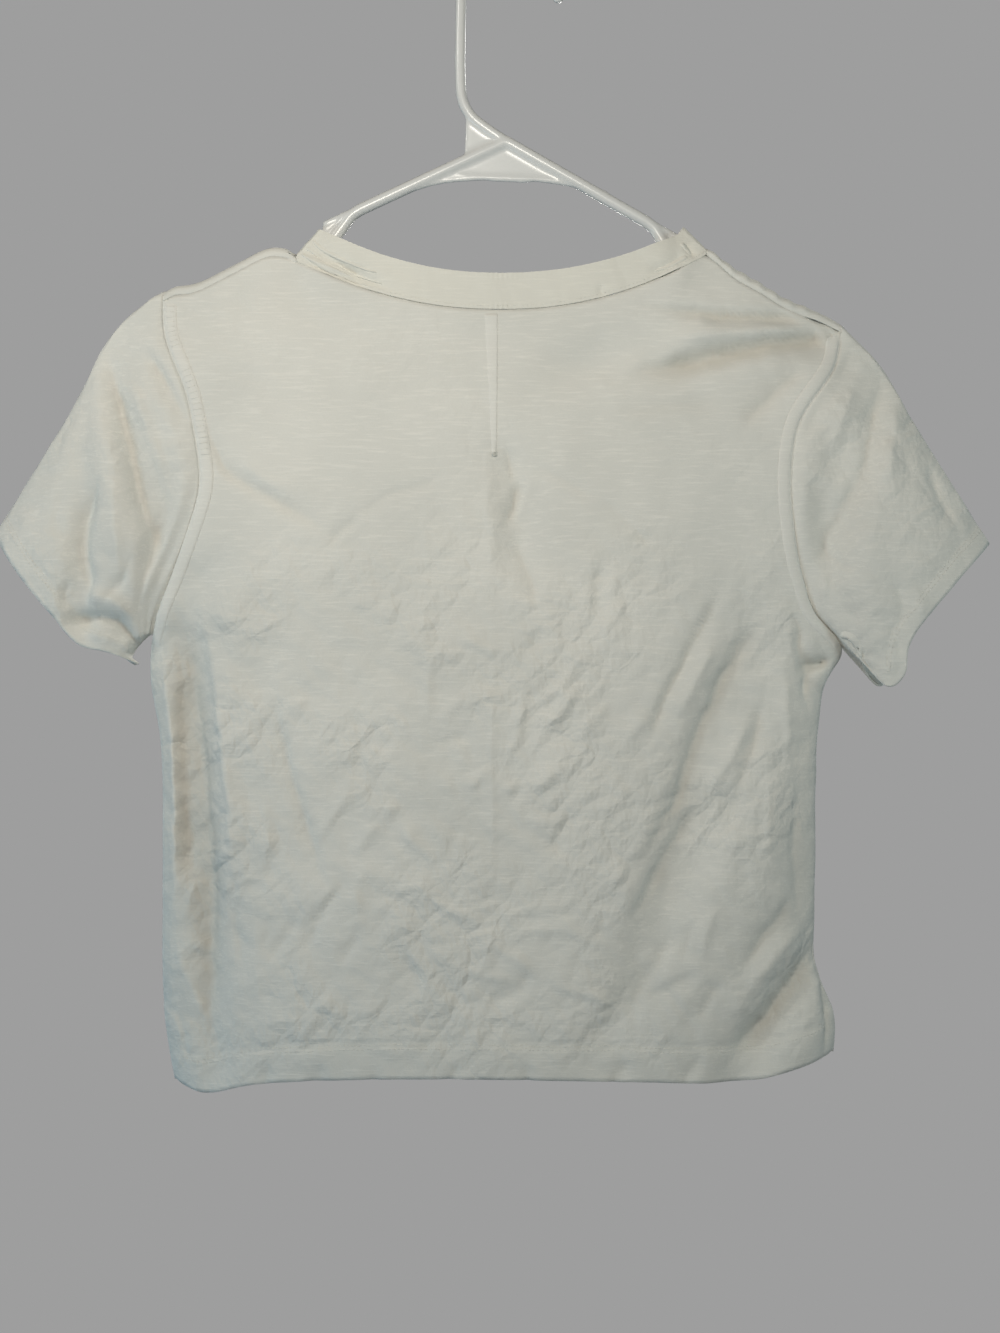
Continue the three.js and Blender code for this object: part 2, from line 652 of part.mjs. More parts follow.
// Draws a layer's first and last points in along its rows, to keep its ends clear of a seam.
function shorten(layer, pull) {
  for (const row of layer.ids) {
    const kept = row.filter((id) => id >= 0);
    const [a, b] = [layer.points[kept[0]], layer.points[kept[1]]];
    const [c, d] = [layer.points[kept.at(-1)], layer.points[kept.at(-2)]];
    a.addScaledVector(b.clone().sub(a).normalize(), pull);
    c.addScaledVector(d.clone().sub(c).normalize(), pull);
  }
}

const hemRow = ARMHOLE_ROWS + SIDE_ROWS;
const turnRows = shoulderTurns.length;
const inside = -CLOTH - LAYER_GAP;
const outside = LAYER_GAP + ALLOWANCE;

// The columns of the rounded side that the armhole's pressed seam allowance covers.
const onArmhole = (sheet, right) => (i, j) => {
  const fromEdge = right ? sheet.ids[0].length - 1 - j : j;
  return fromEdge >= 1 && fromEdge <= 3;
};
const armholeRows = (first) => (i) => i < first + ARMHOLE_ROWS;
const both = (a, b) => (i, j) => a(i, j) && b(i, j);

// The centre back tuck: a pressed fold from the neck seam, stitched down and narrowing.
function tuckGeometry() {
  const rows = [];
  const middle = BACK_COLUMNS.length + EDGE_COLUMNS.length;
  for (let i = 0; i <= TUCK.rows; i++) {
    const [a, b] = [middle - 1, middle].map((j) => back.ids[i][j]);
    const share = mix(TUCK.top, TUCK.bottom, i / TUCK.rows);
    rows.push(
      [0.5 - share / 2, 0.5 + share / 2].map((t) => ({
        p: back.points[a].clone().lerp(back.points[b], t),
        n: back.normals[a].clone().lerp(back.normals[b], t).normalize(),
      })),
    );
  }
  rows[0].forEach(({ p }, k) => p.lerp(rows[1][k].p, 0.06)); // clear of the neckband
  const sheet = new Sheet(rows.map((row) => row.map(({ p }) => p)));
  sheet.normals = rows.flat().map(({ n }) => n);
  return wall(sheet, outside, LAYER_GAP);
}

const object = new THREE.Group();
function add(name, geometry, material, parent = object) {
  const mesh = new THREE.Mesh(geometry, material);
  mesh.name = name;
  parent.add(mesh);
}

add("back_panel", wall(back), jersey);
add("front_panel", wall(front), jersey);
add("sleeve_left", wall(leftSleeve), jersey);
add("sleeve_right", wall(rightSleeve), jersey);
add("neckband", wall(neckband), rib);
add("hem_back", layerOf(back, (i) => i >= hemRow, inside, inside - ALLOWANCE, SEAM_END), jersey);
add(
  "hem_front",
  layerOf(front, (i) => i >= hemRow + turnRows, inside, inside - ALLOWANCE, SEAM_END),
  jersey,
);
for (const [side, sheet] of [["left", leftSleeve], ["right", rightSleeve]])
  add(
    "sleeve_hem_" + side,
    layerOf(sheet, (i) => i >= SLEEVE_SHARES.indexOf(SLEEVE_HEM), inside, inside - ALLOWANCE),
    jersey,
  );
for (const side of ["left", "right"]) {
  const right = side === "right";
  add(
    "armhole_seam_back_" + side,
    layerOf(back, both(armholeRows(0), onArmhole(back, right)), outside, LAYER_GAP),
    jersey,
  );
  add(
    "armhole_seam_front_" + side,
    layerOf(front, both(armholeRows(turnRows), onArmhole(front, right)), outside, LAYER_GAP),
    jersey,
  );
}
add("centre_back_tuck", tuckGeometry(), jersey);

const hanger = new THREE.Group();
hanger.position.z = HOOK_CENTRE;
hanger.rotation.y = TILT;
object.add(hanger);
add("hanger", hangerGeometry(), plastic, hanger);

export default object;
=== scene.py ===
import math
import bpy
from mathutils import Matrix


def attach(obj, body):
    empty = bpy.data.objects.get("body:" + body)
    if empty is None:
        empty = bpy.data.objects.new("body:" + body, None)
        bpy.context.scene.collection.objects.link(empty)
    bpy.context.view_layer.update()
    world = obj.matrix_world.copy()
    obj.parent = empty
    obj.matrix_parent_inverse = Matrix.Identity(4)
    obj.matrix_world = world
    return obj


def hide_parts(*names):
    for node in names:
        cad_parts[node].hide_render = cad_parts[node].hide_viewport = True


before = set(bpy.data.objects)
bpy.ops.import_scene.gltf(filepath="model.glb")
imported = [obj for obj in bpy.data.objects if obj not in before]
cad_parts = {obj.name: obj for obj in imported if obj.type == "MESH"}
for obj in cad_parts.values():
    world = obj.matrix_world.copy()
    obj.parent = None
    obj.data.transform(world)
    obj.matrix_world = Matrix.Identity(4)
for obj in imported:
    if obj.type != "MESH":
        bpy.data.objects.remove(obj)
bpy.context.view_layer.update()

from types import SimpleNamespace

import bmesh
import bpy
import numpy as np
from mathutils import Matrix, Vector
from mathutils.bvhtree import BVHTree
from mathutils.kdtree import KDTree
from mathutils.noise import noise, voronoi

# ---------------------------------------------------------------- back panel
# The back of the shirt: one panel of slub cotton jersey, cut with straight sides, scooped armholes
# and a shallow neck. It hangs from the shoulder seams behind the hanger's arms, and the creases of
# a crumpled, unironed cloth lie over its lower two thirds.

mm = 0.001
JERSEY_WALL = 1.2 * mm


def opened(mesh):
    """A bmesh of a mesh."""
    shape = bmesh.new()
    shape.from_mesh(mesh)
    return shape


def skin_of(node, wall):
    """The outer skin of a CAD cloth wall, in quads: the rim goes, then the skin that lies inside."""
    skin = opened(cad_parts[node].data)
    bmesh.ops.remove_doubles(skin, verts=skin.verts, dist=0.001 * mm)
    across = [e for e in skin.edges if abs(e.calc_length() - wall) < 0.001 * wall]
    bmesh.ops.delete(skin, geom=list({f for e in across for f in e.link_faces}), context="FACES")
    sides, left = [], set(skin.verts)
    while left:
        side, edge = set(), [left.pop()]
        while edge:
            v = edge.pop()
            side.add(v)
            near = [e.other_vert(v) for e in v.link_edges]
            edge += [n for n in near if n in left]
            left.difference_update(near)
        sides.append(side)
    sides.sort(key=lambda side: sum(abs(v.co.y) for v in side) / len(side))
    bmesh.ops.delete(skin, geom=[v for side in sides[:-1] for v in side], context="VERTS")
    join_cells(skin)
    bmesh.ops.recalc_face_normals(skin, faces=skin.faces)
    return skin


def join_cells(skin):
    """Joins triangles into the cells they were cut from. Six edges meet at a point inside such a
    grid, and the third round from a diagonal is a diagonal again."""
    def squareness(e):
        """How far the corners opposite an edge are from right angles."""
        a, b = (v.co for v in e.verts)
        corners = [l.link_loop_prev.vert.co for l in e.link_loops]
        return sum(abs((a - c).angle(b - c) - math.pi / 2) for c in corners)

    inner = [e for e in skin.edges if len(e.link_loops) == 2]
    inside = {v for v in skin.verts if not v.is_boundary and len(v.link_edges) == 6}
    known = set(sorted((e for e in inner if set(e.verts) <= inside), key=squareness)[:1])
    todo = [(v, e) for e in known for v in e.verts]
    while todo:
        v, diagonal = todo.pop()
        if v not in inside:
            continue
        inside.discard(v)
        loops = [v.link_loops[0]]
        while len(loops) < 6:
            loops.append(loops[-1].link_loop_prev.link_loop_radial_next)
        k = [l.edge for l in loops].index(diagonal)
        at = [loops[(k + i) % 6] for i in range(6)]
        found = [at[0].edge, at[3].edge, at[1].link_loop_next.edge, at[4].link_loop_next.edge]
        known.update(found)
        todo += [(w, e) for e in found for w in e.verts if w in inside]
    bmesh.ops.dissolve_edges(skin, edges=[e for e in known if len(e.link_faces) == 2])
    rest = [f for f in skin.faces if len(f.verts) == 3]
    bmesh.ops.join_triangles(skin, faces=rest, angle_face_threshold=math.pi,
                             angle_shape_threshold=math.pi)


def rows_of(items, what):
    """Three numbers for each of a mesh's items."""
    flat = np.empty(len(items) * 3)
    items.foreach_get(what, flat)
    return flat.reshape(-1, 3)


def points_of(mesh):
    return rows_of(mesh.vertices, "co")


def outward(mesh):
    """The way that the cloth faces at each of its points."""
    return rows_of(mesh.vertex_normals, "vector")


def place(mesh, points):
    mesh.vertices.foreach_set("co", np.asarray(points, float).ravel())
    mesh.update()


def made(name, shape):
    """A new piece from a bmesh."""
    mesh = bpy.data.meshes.new(name)
    shape.to_mesh(mesh)
    shape.free()
    piece = bpy.data.objects.new(name, mesh)
    bpy.context.scene.collection.objects.link(piece)
    mesh.shade_smooth()
    return piece


def settle(piece):
    """Puts the piece's modifiers into its mesh."""
    bpy.context.view_layer.update()
    graph = bpy.context.evaluated_depsgraph_get()
    mesh = bpy.data.meshes.new_from_object(piece.evaluated_get(graph))
    piece.modifiers.clear()
    piece.data = mesh


def smooth_through(piece, levels):
    """Subdivides the piece into a smooth surface that still passes through its own points."""
    aim = points_of(piece.data)
    round_off = piece.modifiers.new("round_off", "SUBSURF")
    round_off.levels = round_off.render_levels = levels
    round_off.boundary_smooth = "ALL"
    control = aim.copy()
    rounds = 7
    for _ in range(rounds):
        bpy.context.view_layer.update()
        shown = piece.evaluated_get(bpy.context.evaluated_depsgraph_get()).to_mesh()
        control += aim - points_of(shown)[: len(aim)]
        place(piece.data, control)
    settle(piece)


def ease(start, end, value):
    """0 before start, 1 after end, and a soft rise between them."""
    t = np.clip((value - start) / (end - start), 0, 1)
    return t * t * (3 - 2 * t)


def curve_through(stops, step):
    """A smooth line through a few stops, in points about one step apart."""
    stops = np.asarray(stops, float)
    ends = np.vstack([2 * stops[0] - stops[1], stops, 2 * stops[-1] - stops[-2]])
    line = []
    for a, b, c, d in zip(ends, ends[1:], ends[2:], ends[3:]):
        for t in np.arange(0, 1, min(1, step / max(np.linalg.norm(c - b), 1e-9))):
            line.append(0.5 * (2 * b + (c - a) * t + (2 * a - 5 * b + 4 * c - d) * t**2
                               + (3 * b - a - 3 * c + d) * t**3))
    return np.array(line + [stops[-1]])


def creased(flat, creases):
    """How far each crease lifts the cloth. flat: points across and up, in mm. A crease is its
    stops, its width and its height; a trough is negative. Its gentle side is to the left of its
    way when lean is 1, and to the right when it is -1."""
    lift = np.zeros(len(flat))
    for stops, width, height, lean in creases:
        line = curve_through(stops, 5)
        low, high = line.min(0) - 4 * width, line.max(0) + 4 * width
        near = np.flatnonzero(((flat > low) & (flat < high)).all(1))
        if not len(near):
            continue
        at = flat[near]
        best, side, along = np.full(len(at), 1e9), np.zeros(len(at)), np.zeros(len(at))
        steps = np.diff(line, axis=0)
        length = np.linalg.norm(steps, axis=1)
        start = np.concatenate([[0], np.cumsum(length)])
        for p, step, run, begun in zip(line, steps, length, start):
            t = ((at - p) @ step) / run**2
            c = np.clip(t, 0, 1)
            off = at - p - c[:, None] * step
            d = np.hypot(off[:, 0], off[:, 1])
            closer = d < best
            best = np.where(closer, d, best)
            turn = (step[0] * off[:, 1] - step[1] * off[:, 0]) / run
            side = np.where(closer, np.where(np.abs(turn) < 1e-9, 0, turn), side)
            along = np.where(closer, begun + c * run, along)
        share = along / start[-1]
        faint = 0.1  # what is left of a crease at its very ends
        fade = ease(0, 0.3, share) * ease(0, 0.3, 1 - share) * (1 - faint) + faint
        fade = fade * ease(0, 1, 2 - best / (1.6 * width))
        reach = width * np.where(side * lean > 0, 1.5, 1.0 if lean == 0 else 0.7)
        round_off = 0.5 + 0.2 * abs(height)
        lift[near] += height * np.exp((round_off - np.hypot(best, round_off)) / (0.6 * reach)) * fade
    return lift


def wandering(flat, reach):
    """The same points, moved a little from side to side, so that a crease wavers as cloth does."""
    long_wave, short_wave, seeds = 11, 5, (4.0, 11.0)
    moved = flat.copy()
    for i, (x, z) in enumerate(flat):
        for k, seed in enumerate(seeds):
            broad = noise(Vector((x / long_wave, z / long_wave, seed)))
            fine = noise(Vector((x / short_wave, z / short_wave, seed)))
            moved[i, k] += reach * (broad + 0.25 * fine)
    return moved


def crumpled(flat, seed, cell, height, slant, stretch):
    """A crushed cloth: flat facets that meet in soft ridges. cell and height are in mm, slant is
    the turn of the facets and stretch how much longer than wide they are."""
    lift = np.empty(len(flat))
    turn = np.array([[math.cos(slant), math.sin(slant)], [-math.sin(slant), math.cos(slant)]])
    at = flat @ turn.T / cell
    at[:, 1] /= stretch
    for i, (u, v) in enumerate(at):
        warp = noise(Vector((u * 0.9, v * 0.9, seed))) * 0.5
        near, _ = voronoi(Vector((u + warp, v - warp, seed + 0.37)))
        lift[i] = min(near[1] - near[0], 0.55)
    return height * (lift - 0.3)


UNDERARM, HEM_HEIGHT = -434, 21


def on_hem(x, z):
    return z < -670


def on_armhole(x, z):
    return z >= UNDERARM - 0.5 and (x < -150 and z < -215.5 or x > 150 and z < -229.5)


def on_neck(x, z):
    return abs(x + 5.6) < 126.5 and z > -320  # the neck's middle lies 5.6 mm to the left


def on_shoulder(x, z):
    return z > -240 and not on_neck(x, z) and not on_armhole(x, z)


def far_from(piece, keep):
    """Each point's distance, in mm, from those of the piece's open edges that keep() takes."""
    shape = opened(piece.data)
    kept = [v.co.copy() for v in shape.verts if v.is_boundary and keep(v.co.x / mm, v.co.z / mm)]
    shape.free()
    tree = KDTree(len(kept))
    for i, co in enumerate(kept):
        tree.insert(co, i)
    tree.balance()
    return np.array([tree.find(v.co)[2] for v in piece.data.vertices]) / mm


def note(piece, name, values):
    """Keeps a number for each point, which the finish reads."""
    kept = piece.data.attributes.new(name, "FLOAT", "POINT")
    kept.data.foreach_set("value", np.asarray(values, np.float32))


def sew(piece, keep, others, reach):
    """Lays those of the piece's open edges that keep() takes onto the edges of the other cloths.
    The cloth within reach mm of them moves along."""
    ends = []
    for mesh in others:
        shape = opened(mesh)
        ends += [[tuple(v.co) for v in e.verts] for e in shape.edges if e.is_boundary]
        shape.free()
    ends = np.array(ends)
    start, run = ends[:, 0], ends[:, 1] - ends[:, 0]
    shape = opened(piece.data)
    kept = [np.array(v.co) for v in shape.verts if v.is_boundary and keep(v.co.x / mm, v.co.z / mm)]
    shape.free()
    tree, moves = KDTree(len(kept)), []
    for i, co in enumerate(kept):
        t = np.clip(((co - start) * run).sum(1) / np.maximum((run**2).sum(1), 1e-12), 0, 1)
        spots = start + t[:, None] * run
        gaps = np.linalg.norm(spots - co, axis=1)
        nearest = gaps.argmin()
        moves.append((spots[nearest] - co) * ease(7, 4, gaps[nearest] / mm))
        tree.insert(co, i)
    tree.balance()
    moves = [np.mean([moves[k] for _, k, _ in tree.find_range(co, 5 * mm)], axis=0) for co in kept]
    there = points_of(piece.data)
    for k, co in enumerate(there):
        _, i, gap = tree.find(co)
        if gap < reach * mm:
            there[k] += moves[i] * ease(reach, 0, gap / mm)
    place(piece.data, there)


def tree_of(mesh):
    shape = opened(mesh)
    tree = BVHTree.FromBMesh(shape)
    shape.free()
    return tree


def seen_from_behind(tree, x, z):
    """The point and the normal that a look from well behind the shirt meets, or two Nones."""
    point, normal, _, _ = tree.ray_cast(Vector((x, -0.2, z)), Vector((0, 1, 0)))
    return point, normal


def rest_on_arms(piece):
    """Lifts the cloth's outer skin off the hanger's arms where a fold would sink into them."""
    arms = tree_of(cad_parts["hanger"].data)
    arms_end, clear = -270 * mm, 2.2 * mm
    there = points_of(piece.data)
    for k in np.flatnonzero(there[:, 2] > arms_end):
        spot, _ = seen_from_behind(arms, there[k, 0], there[k, 2])
        if spot:
            there[k, 1] = min(there[k, 1], spot.y - clear)
    place(piece.data, there)


def calmed(piece, spot, reach, rounds):
    """Rubs the cloth smooth around a spot."""
    shape = opened(piece.data)
    near = [v for v in shape.verts if not v.is_boundary and (v.co - Vector(spot)).length < reach]
    for _ in range(rounds):
        bmesh.ops.smooth_vert(shape, verts=near, factor=0.5,
                              use_axis_x=True, use_axis_y=True, use_axis_z=True)
    shape.to_mesh(piece.data)
    shape.free()


# The back's creases, in mm as seen from behind: stops, width, height, lean.
BACK_CREASES = [
    # from the left armhole to the shoulder blade, and its pucker
    ([(-186, -292), (-176, -322), (-154, -339), (-131, -351), (-108, -365)], 6, -2.6, 1),
    ([(-168, -318), (-150, -331), (-128, -341)], 6, 1.4, 0),
    ([(-112, -371), (-106, -366), (-100, -360), (-92, -352)], 2.6, -1.3, 0),
    ([(-105, -361), (-82, -345), (-57, -335), (-33, -328)], 4, -1.1, -1),
    # from the tuck's end to the right shoulder blade, and its pucker
    ([(12, -322), (30, -331), (41, -338), (55, -343)], 4, -1.0, 1),
    ([(55, -343), (68, -354), (81, -367)], 4, -0.8, 0),
    ([(76, -362), (81, -368), (86, -366)], 2.6, -1.4, 0),
    # pulled over to the right shoulder's tip
    ([(84, -223), (109, -227), (140, -230), (170, -230), (200, -232), (240, -234)], 3.4, -6.4, -1),
    ([(74, -266), (104, -259), (136, -251), (164, -246), (190, -242), (222, -239)], 6.4, -9.0, -1),
    ([(90, -244), (120, -242), (154, -238), (196, -236)], 8, 3.4, 0),
    ([(100, -272), (130, -264), (160, -256), (186, -250)], 7, 2.2, 0),
    ([(140, -302), (154, -286), (168, -272), (184, -258)], 9, -3.4, 1),
    ([(60, -290), (100, -286), (140, -282)], 14, -1.6, 0),
    # under the tuck: a short deep pleat and its tails
    ([(-3, -312), (-1, -320), (1, -328), (5, -333)], 4, -2.0, 1),
    ([(6, -330), (2, -345), (-3, -360)], 4.5, -2.8, 1),
    ([(14, -326), (10, -342), (4, -358)], 5, 1.6, 0),
    ([(1, -366), (8, -384), (13, -396), (15, -412)], 5, -1.5, 1),
    ([(-12, -322), (-14, -345), (-12, -368)], 9, 0.9, 0),
    # folded flat once: faint straight lines
    ([(-10, -430), (-11, -500), (-10, -586)], 3, 0.45, -1),
    ([(-51, -327), (-51, -405), (-52, -484)], 3, 0.5, -1),
    ([(-51, -374), (-40, -374), (-29, -374)], 2.5, 0.4, 1),
    # the left side: a ridge and the broad trough beside it, down to the hem
    ([(-196, -398), (-190, -412), (-184, -433), (-181, -450), (-179, -466), (-177, -484),
      (-174, -506), (-171, -528), (-170, -552), (-172, -580)], 5, 3.2, 1),
    ([(-208, -396), (-204, -414), (-199, -433), (-196, -450), (-194, -466), (-192, -484),
      (-190, -506), (-188, -528), (-186, -552), (-184, -577), (-184, -602), (-183, -640),
      (-182, -690)], 12, -8.5, -1),
    ([(-206, -420), (-203, -450), (-202, -484), (-200, -528), (-200, -577)], 9, -3.0, 0),
    ([(-216, -426), (-212, -455), (-209, -484), (-207, -520), (-206, -556), (-206, -600)], 4, 3.0, 0),
    ([(-207, -626), (-198, -617), (-190, -616), (-182, -623)], 4.5, 1.8, 1),
    ([(-206, -612), (-199, -632), (-190, -650), (-184, -668)], 4, 1.8, -1),
    ([(-206, -655), (-200, -660), (-191, -663)], 3, -1.1, 1),
    ([(-203, -520), (-199, -548), (-196, -580)], 5, -1.5, 0),
    ([(-143, -456), (-142, -478), (-137, -493), (-133, -512), (-128, -527), (-122, -545),
      (-117, -562), (-113, -582)], 5, -1.8, -1),
    ([(-92, -513), (-102, -530), (-111, -542), (-117, -552)], 5, 1.6, -1),
    ([(-150, -520), (-146, -548), (-150, -572)], 6, 1.0, 0),
    ([(-169, -596), (-165, -584), (-156, -574), (-147, -575)], 5, 1.7, 1),
    ([(-186, -570), (-178, -563), (-170, -555)], 4.5, 1.7, 1),
    ([(-192, -574), (-195, -584), (-197, -594)], 4, 1.3, 1),
    ([(-117, -593), (-109, -582), (-100, -574)], 5, 1.6, 1),
    ([(-146, -626), (-135, -607), (-124, -594)], 6, -1.5, 1),
    ([(-167, -578), (-166, -606), (-161, -628)], 4.5, -1.3, 1),
    ([(-150, -600), (-153, -628), (-150, -655)], 9, 0.8, 0),
    # the right side's long drags, from the armhole down to the left
    ([(133, -390), (119, -416), (108, -437), (99, -454), (93, -467), (86, -486), (80, -500)], 5, -2.2, 1),
    ([(126, -428), (112, -455), (100, -478)], 6, 1.4, 0),
    ([(163, -408), (146, -426), (134, -445), (126, -461), (118, -478), (110, -497), (101, -528),
      (92, -542), (82, -557), (73, -570)], 7, -3.2, 1),
    ([(147, -476), (135, -500), (126, -515), (120, -530)], 6, 2.0, -1),
    ([(114, -530), (102, -548), (93, -563), (80, -585)], 5, -2.0, 1),
    ([(158, -452), (150, -486), (140, -520), (126, -556)], 9, -1.8, 0),
    ([(172, -408), (176, -423), (178, -441), (181, -458), (184, -476)], 3.6, -2.2, 1),
    ([(166, -440), (169, -470), (170, -505)], 8, 1.5, 0),
    ([(178, -447), (187, -445), (198, -441)], 4, -4.6, 1),
    ([(176, -520), (174, -560), (178, -600)], 8, -1.6, 1),
    ([(160, -510), (156, -540), (160, -572)], 8, 1.3, 0),
    # bottom right
    ([(190, -612), (181, -628), (168, -644), (156, -660), (146, -669), (132, -684)], 9, -5.4, 0),
    ([(188, -616), (193, -636), (195, -656), (194, -672), (192, -686)], 4, -3.0, 1),
    ([(178, -604), (160, -624), (140, -644)], 8, 2.0, 0),
    ([(172, -582), (164, -600), (154, -610), (137, -631)], 7, -2.6, 1),
    ([(104, -604), (93, -618), (82, -634), (76, -644), (74, -660)], 5, -1.9, -1),
    ([(114, -629), (96, -638), (78, -646)], 4, -1.3, 1),
    ([(112, -598), (106, -611), (103, -624)], 3.5, -1.2, -1),
    ([(91, -564), (82, -583), (70, -597)], 4.5, -1.6, 1),
    ([(112, -662), (115, -654), (122, -642), (130, -635)], 3.5, -1.2, 1),
    ([(128, -590), (118, -604), (116, -622)], 6, 1.2, 0),
    # bottom centre
    ([(-51, -580), (-40, -590), (-28, -594), (-12, -598)], 4, 1.3, 1),
    ([(-8, -597), (6, -592), (29, -590), (42, -582)], 4, 1.2, 1),
    ([(-7, -610), (6, -606), (21, -603), (36, -605), (52, -613)], 4, 1.2, 1),
    ([(56, -592), (52, -611)], 3.5, -1.0, 1),
    ([(-11, -611), (3, -620), (14, -627)], 3.5, 1.1, -1),
    ([(10, -626), (5, -643)], 3.5, -1.0, 1),
    ([(-14, -648), (-2, -643), (6, -637)], 3.5, -1.1, 1),
    ([(-34, -624), (-21, -629), (1, -634)], 4, 1.0, 1),
    ([(20, -635), (37, -639), (54, -645), (72, -652)], 4, 1.2, 1),
    ([(-33, -672), (-12, -670), (6, -672)], 3.5, 0.9, 1),
    ([(40, -669), (60, -664)], 3.5, -1.0, 1),
    ([(-70, -610), (-58, -626), (-54, -646)], 6, -1.2, -1),
    # drags across the turned-up hem
    ([(-30, -682), (-34, -688), (-40, -698)], 5, -1.7, 0),
    ([(12, -682), (11, -688), (9, -697)], 5, -1.6, 0),
    ([(73, -681), (67, -687), (58, -697)], 5, -1.8, 0),
    ([(-144, -683), (-146, -689), (-150, -699)], 5, -1.6, 0),
    ([(-110, -685), (-116, -691), (-124, -700)], 5, -1.4, 0),
    ([(116, -679), (109, -686), (101, -695)], 5, -1.4, 0),
    ([(-76, -686), (-82, -692), (-89, -701)], 5, -1.2, 0),
    # bottom left
    ([(-97, -572), (-108, -585), (-114, -596), (-121, -612), (-127, -620)], 5, -1.7, -1),
    ([(-91, -603), (-95, -614), (-103, -624)], 4, -1.2, -1),
    ([(-100, -640), (-110, -649), (-118, -656), (-130, -676)], 4.5, 1.4, -1),
    ([(-84, -560), (-92, -580), (-90, -600)], 6, 1.0, 0),
    # centre
    ([(-26, -460), (-33, -468), (-42, -479)], 4, 1.3, -1),
    ([(-10, -459), (-18, -465), (-27, -474)], 4, 1.2, -1),
    ([(18, -450), (7, -466), (6, -479), (2, -493), (-5, -507)], 4.2, 1.7, -1),
    ([(43, -439), (35, -452), (19, -466), (8, -477)], 4.2, 1.6, -1),
    ([(42, -456), (30, -474), (20, -486)], 4.2, 1.7, -1),
    ([(58, -469), (50, -478), (40, -489)], 4, 1.4, -1),
    ([(85, -476), (78, -482), (68, -489)], 4, 1.2, -1),
    ([(-10, -506), (-21, -515), (-27, -521)], 3.6, 1.3, -1),
    ([(-6, -519), (9, -517)], 3.2, 1.0, 1),
    ([(36, -508), (23, -513), (14, -524)], 4, 1.4, -1),
    ([(62, -503), (54, -514)], 3.6, -1.0, -1),
    ([(-66, -540), (-59, -551), (-51, -557), (-43, -563)], 4, 1.3, 1),
    ([(-66, -528), (-70, -531), (-75, -536)], 3.5, 1.0, -1),
    ([(-77, -539), (-85, -546), (-92, -559)], 4, 1.2, -1),
    ([(-32, -427), (-21, -433), (-5, -438)], 4, 1.4, 1),
    ([(-50, -482), (-50, -458), (-49, -444), (-44, -438), (-34, -438)], 3.2, 0.9, -1),
    ([(-48, -495), (-38, -491), (-25, -488)], 3.6, -1.0, 1),
    ([(-71, -425), (-65, -419), (-58, -417)], 3.5, -0.9, 1),
    ([(58, -378), (53, -396), (52, -420)], 5, -1.4, 1),
    ([(66, -384), (62, -402), (62, -420)], 5, 0.8, 0),
    ([(12, -434), (22, -423)], 3.5, -0.9, 1),
    ([(-8, -403), (2, -395)], 3.5, -0.9, 1),
    ([(-96, -470), (-90, -500), (-98, -522)], 8, -1.1, 1),
    ([(40, -530), (28, -548), (30, -566)], 6, -1.2, 1),
    ([(70, -510), (62, -530), (50, -548)], 6, 1.1, -1),
    ([(-30, -536), (-36, -556), (-30, -574)], 6, -1.0, 1),
]


def crushed(flat, parts):
    """Facets of several sizes: each part is its seed, cell, height, slant and stretch."""
    return sum(crumpled(flat, *part) for part in parts)


def groove(distance, width=2.2):
    """1 on a line and 0 away from it."""
    return np.exp(-(distance / width) ** 2)


def double_cloth(distance, fold, stitched, rise, depth):
    """The lift of a turned-up edge: the double cloth, and the stitched line that holds it."""
    return rise * ease(fold, fold - 3, distance) - depth * groove(distance - stitched, 1.6)


def raised(piece, way, lift, facing):
    """Moves the cloth by its lift, in mm, and hardly at all where it faces sideways."""
    place(piece.data, points_of(piece.data) + way * (lift * (0.1 + 0.9 * facing))[:, None] * mm)


def measured(panel, creases, shoulder_hold):
    """A panel's points laid flat and their distances from its edges, how far down the panel and
    how free of its seams each lies, and its folds. All are in mm, or shares from 0 to 1."""
    at = SimpleNamespace(flat=points_of(panel.data)[:, ::2] / mm)
    at.arm, at.neck = far_from(panel, on_armhole), far_from(panel, on_neck)
    at.shoulder, at.hem = far_from(panel, on_shoulder), far_from(panel, on_hem)
    at.lower = ease(-330, -450, at.flat[:, 1]) * (1 - 0.45 * ease(40, 0, at.hem))
    at.free = ease(0, 12, at.arm) * ease(0, 9, at.neck) * ease(*shoulder_hold, at.shoulder)
    at.folds = creased(wandering(at.flat, 1.6), creases) * (0.25 + 0.75 * at.free)
    return at


def panel_surface(at, big_facets, small_facets):
    """The lift of a panel's crushed cloth, of the grooves at its seams and of its hem."""
    return (at.lower * at.free * crushed(at.flat, big_facets)
            + (1 - at.lower) * at.free * crushed(at.flat, small_facets)
            - 0.5 * groove(at.arm) - 0.5 * groove(at.neck)
            + double_cloth(at.hem, HEM_HEIGHT, HEM_HEIGHT - 0.5, 0.7, 0.9))


def note_finish(panel, at):
    """What the jersey's finish reads: how crushed the cloth is, and how deep its folds, whose troughs the
    finish darkens as painted shade.
    """
    note(panel, "crush", (0.25 + 0.75 * at.lower) * at.free)
    note(panel, "fold", at.folds)


back = made("back_panel", skin_of("back_panel", JERSEY_WALL))
smooth_through(back, 3)
at = measured(back, BACK_CREASES, shoulder_hold=(0, 9))
middle = ease(-176, -160, at.flat[:, 0])
lift = at.folds * (1 + 0.6 * middle * at.lower)
lift += panel_surface(at, [(3, 34, 1.9, 0.9, 1.9), (11, 14, 1.3, 0.7, 1.5)], [(5, 46, 0.9, 0.2, 1.4)])
away = outward(back.data) * 0.4 + np.array([0, -0.6, 0])
raised(back, away, lift, ease(-0.1, 0.4, -outward(back.data)[:, 1]))
rest_on_arms(back)
note_finish(back, at)
back_skin = back.data.copy()


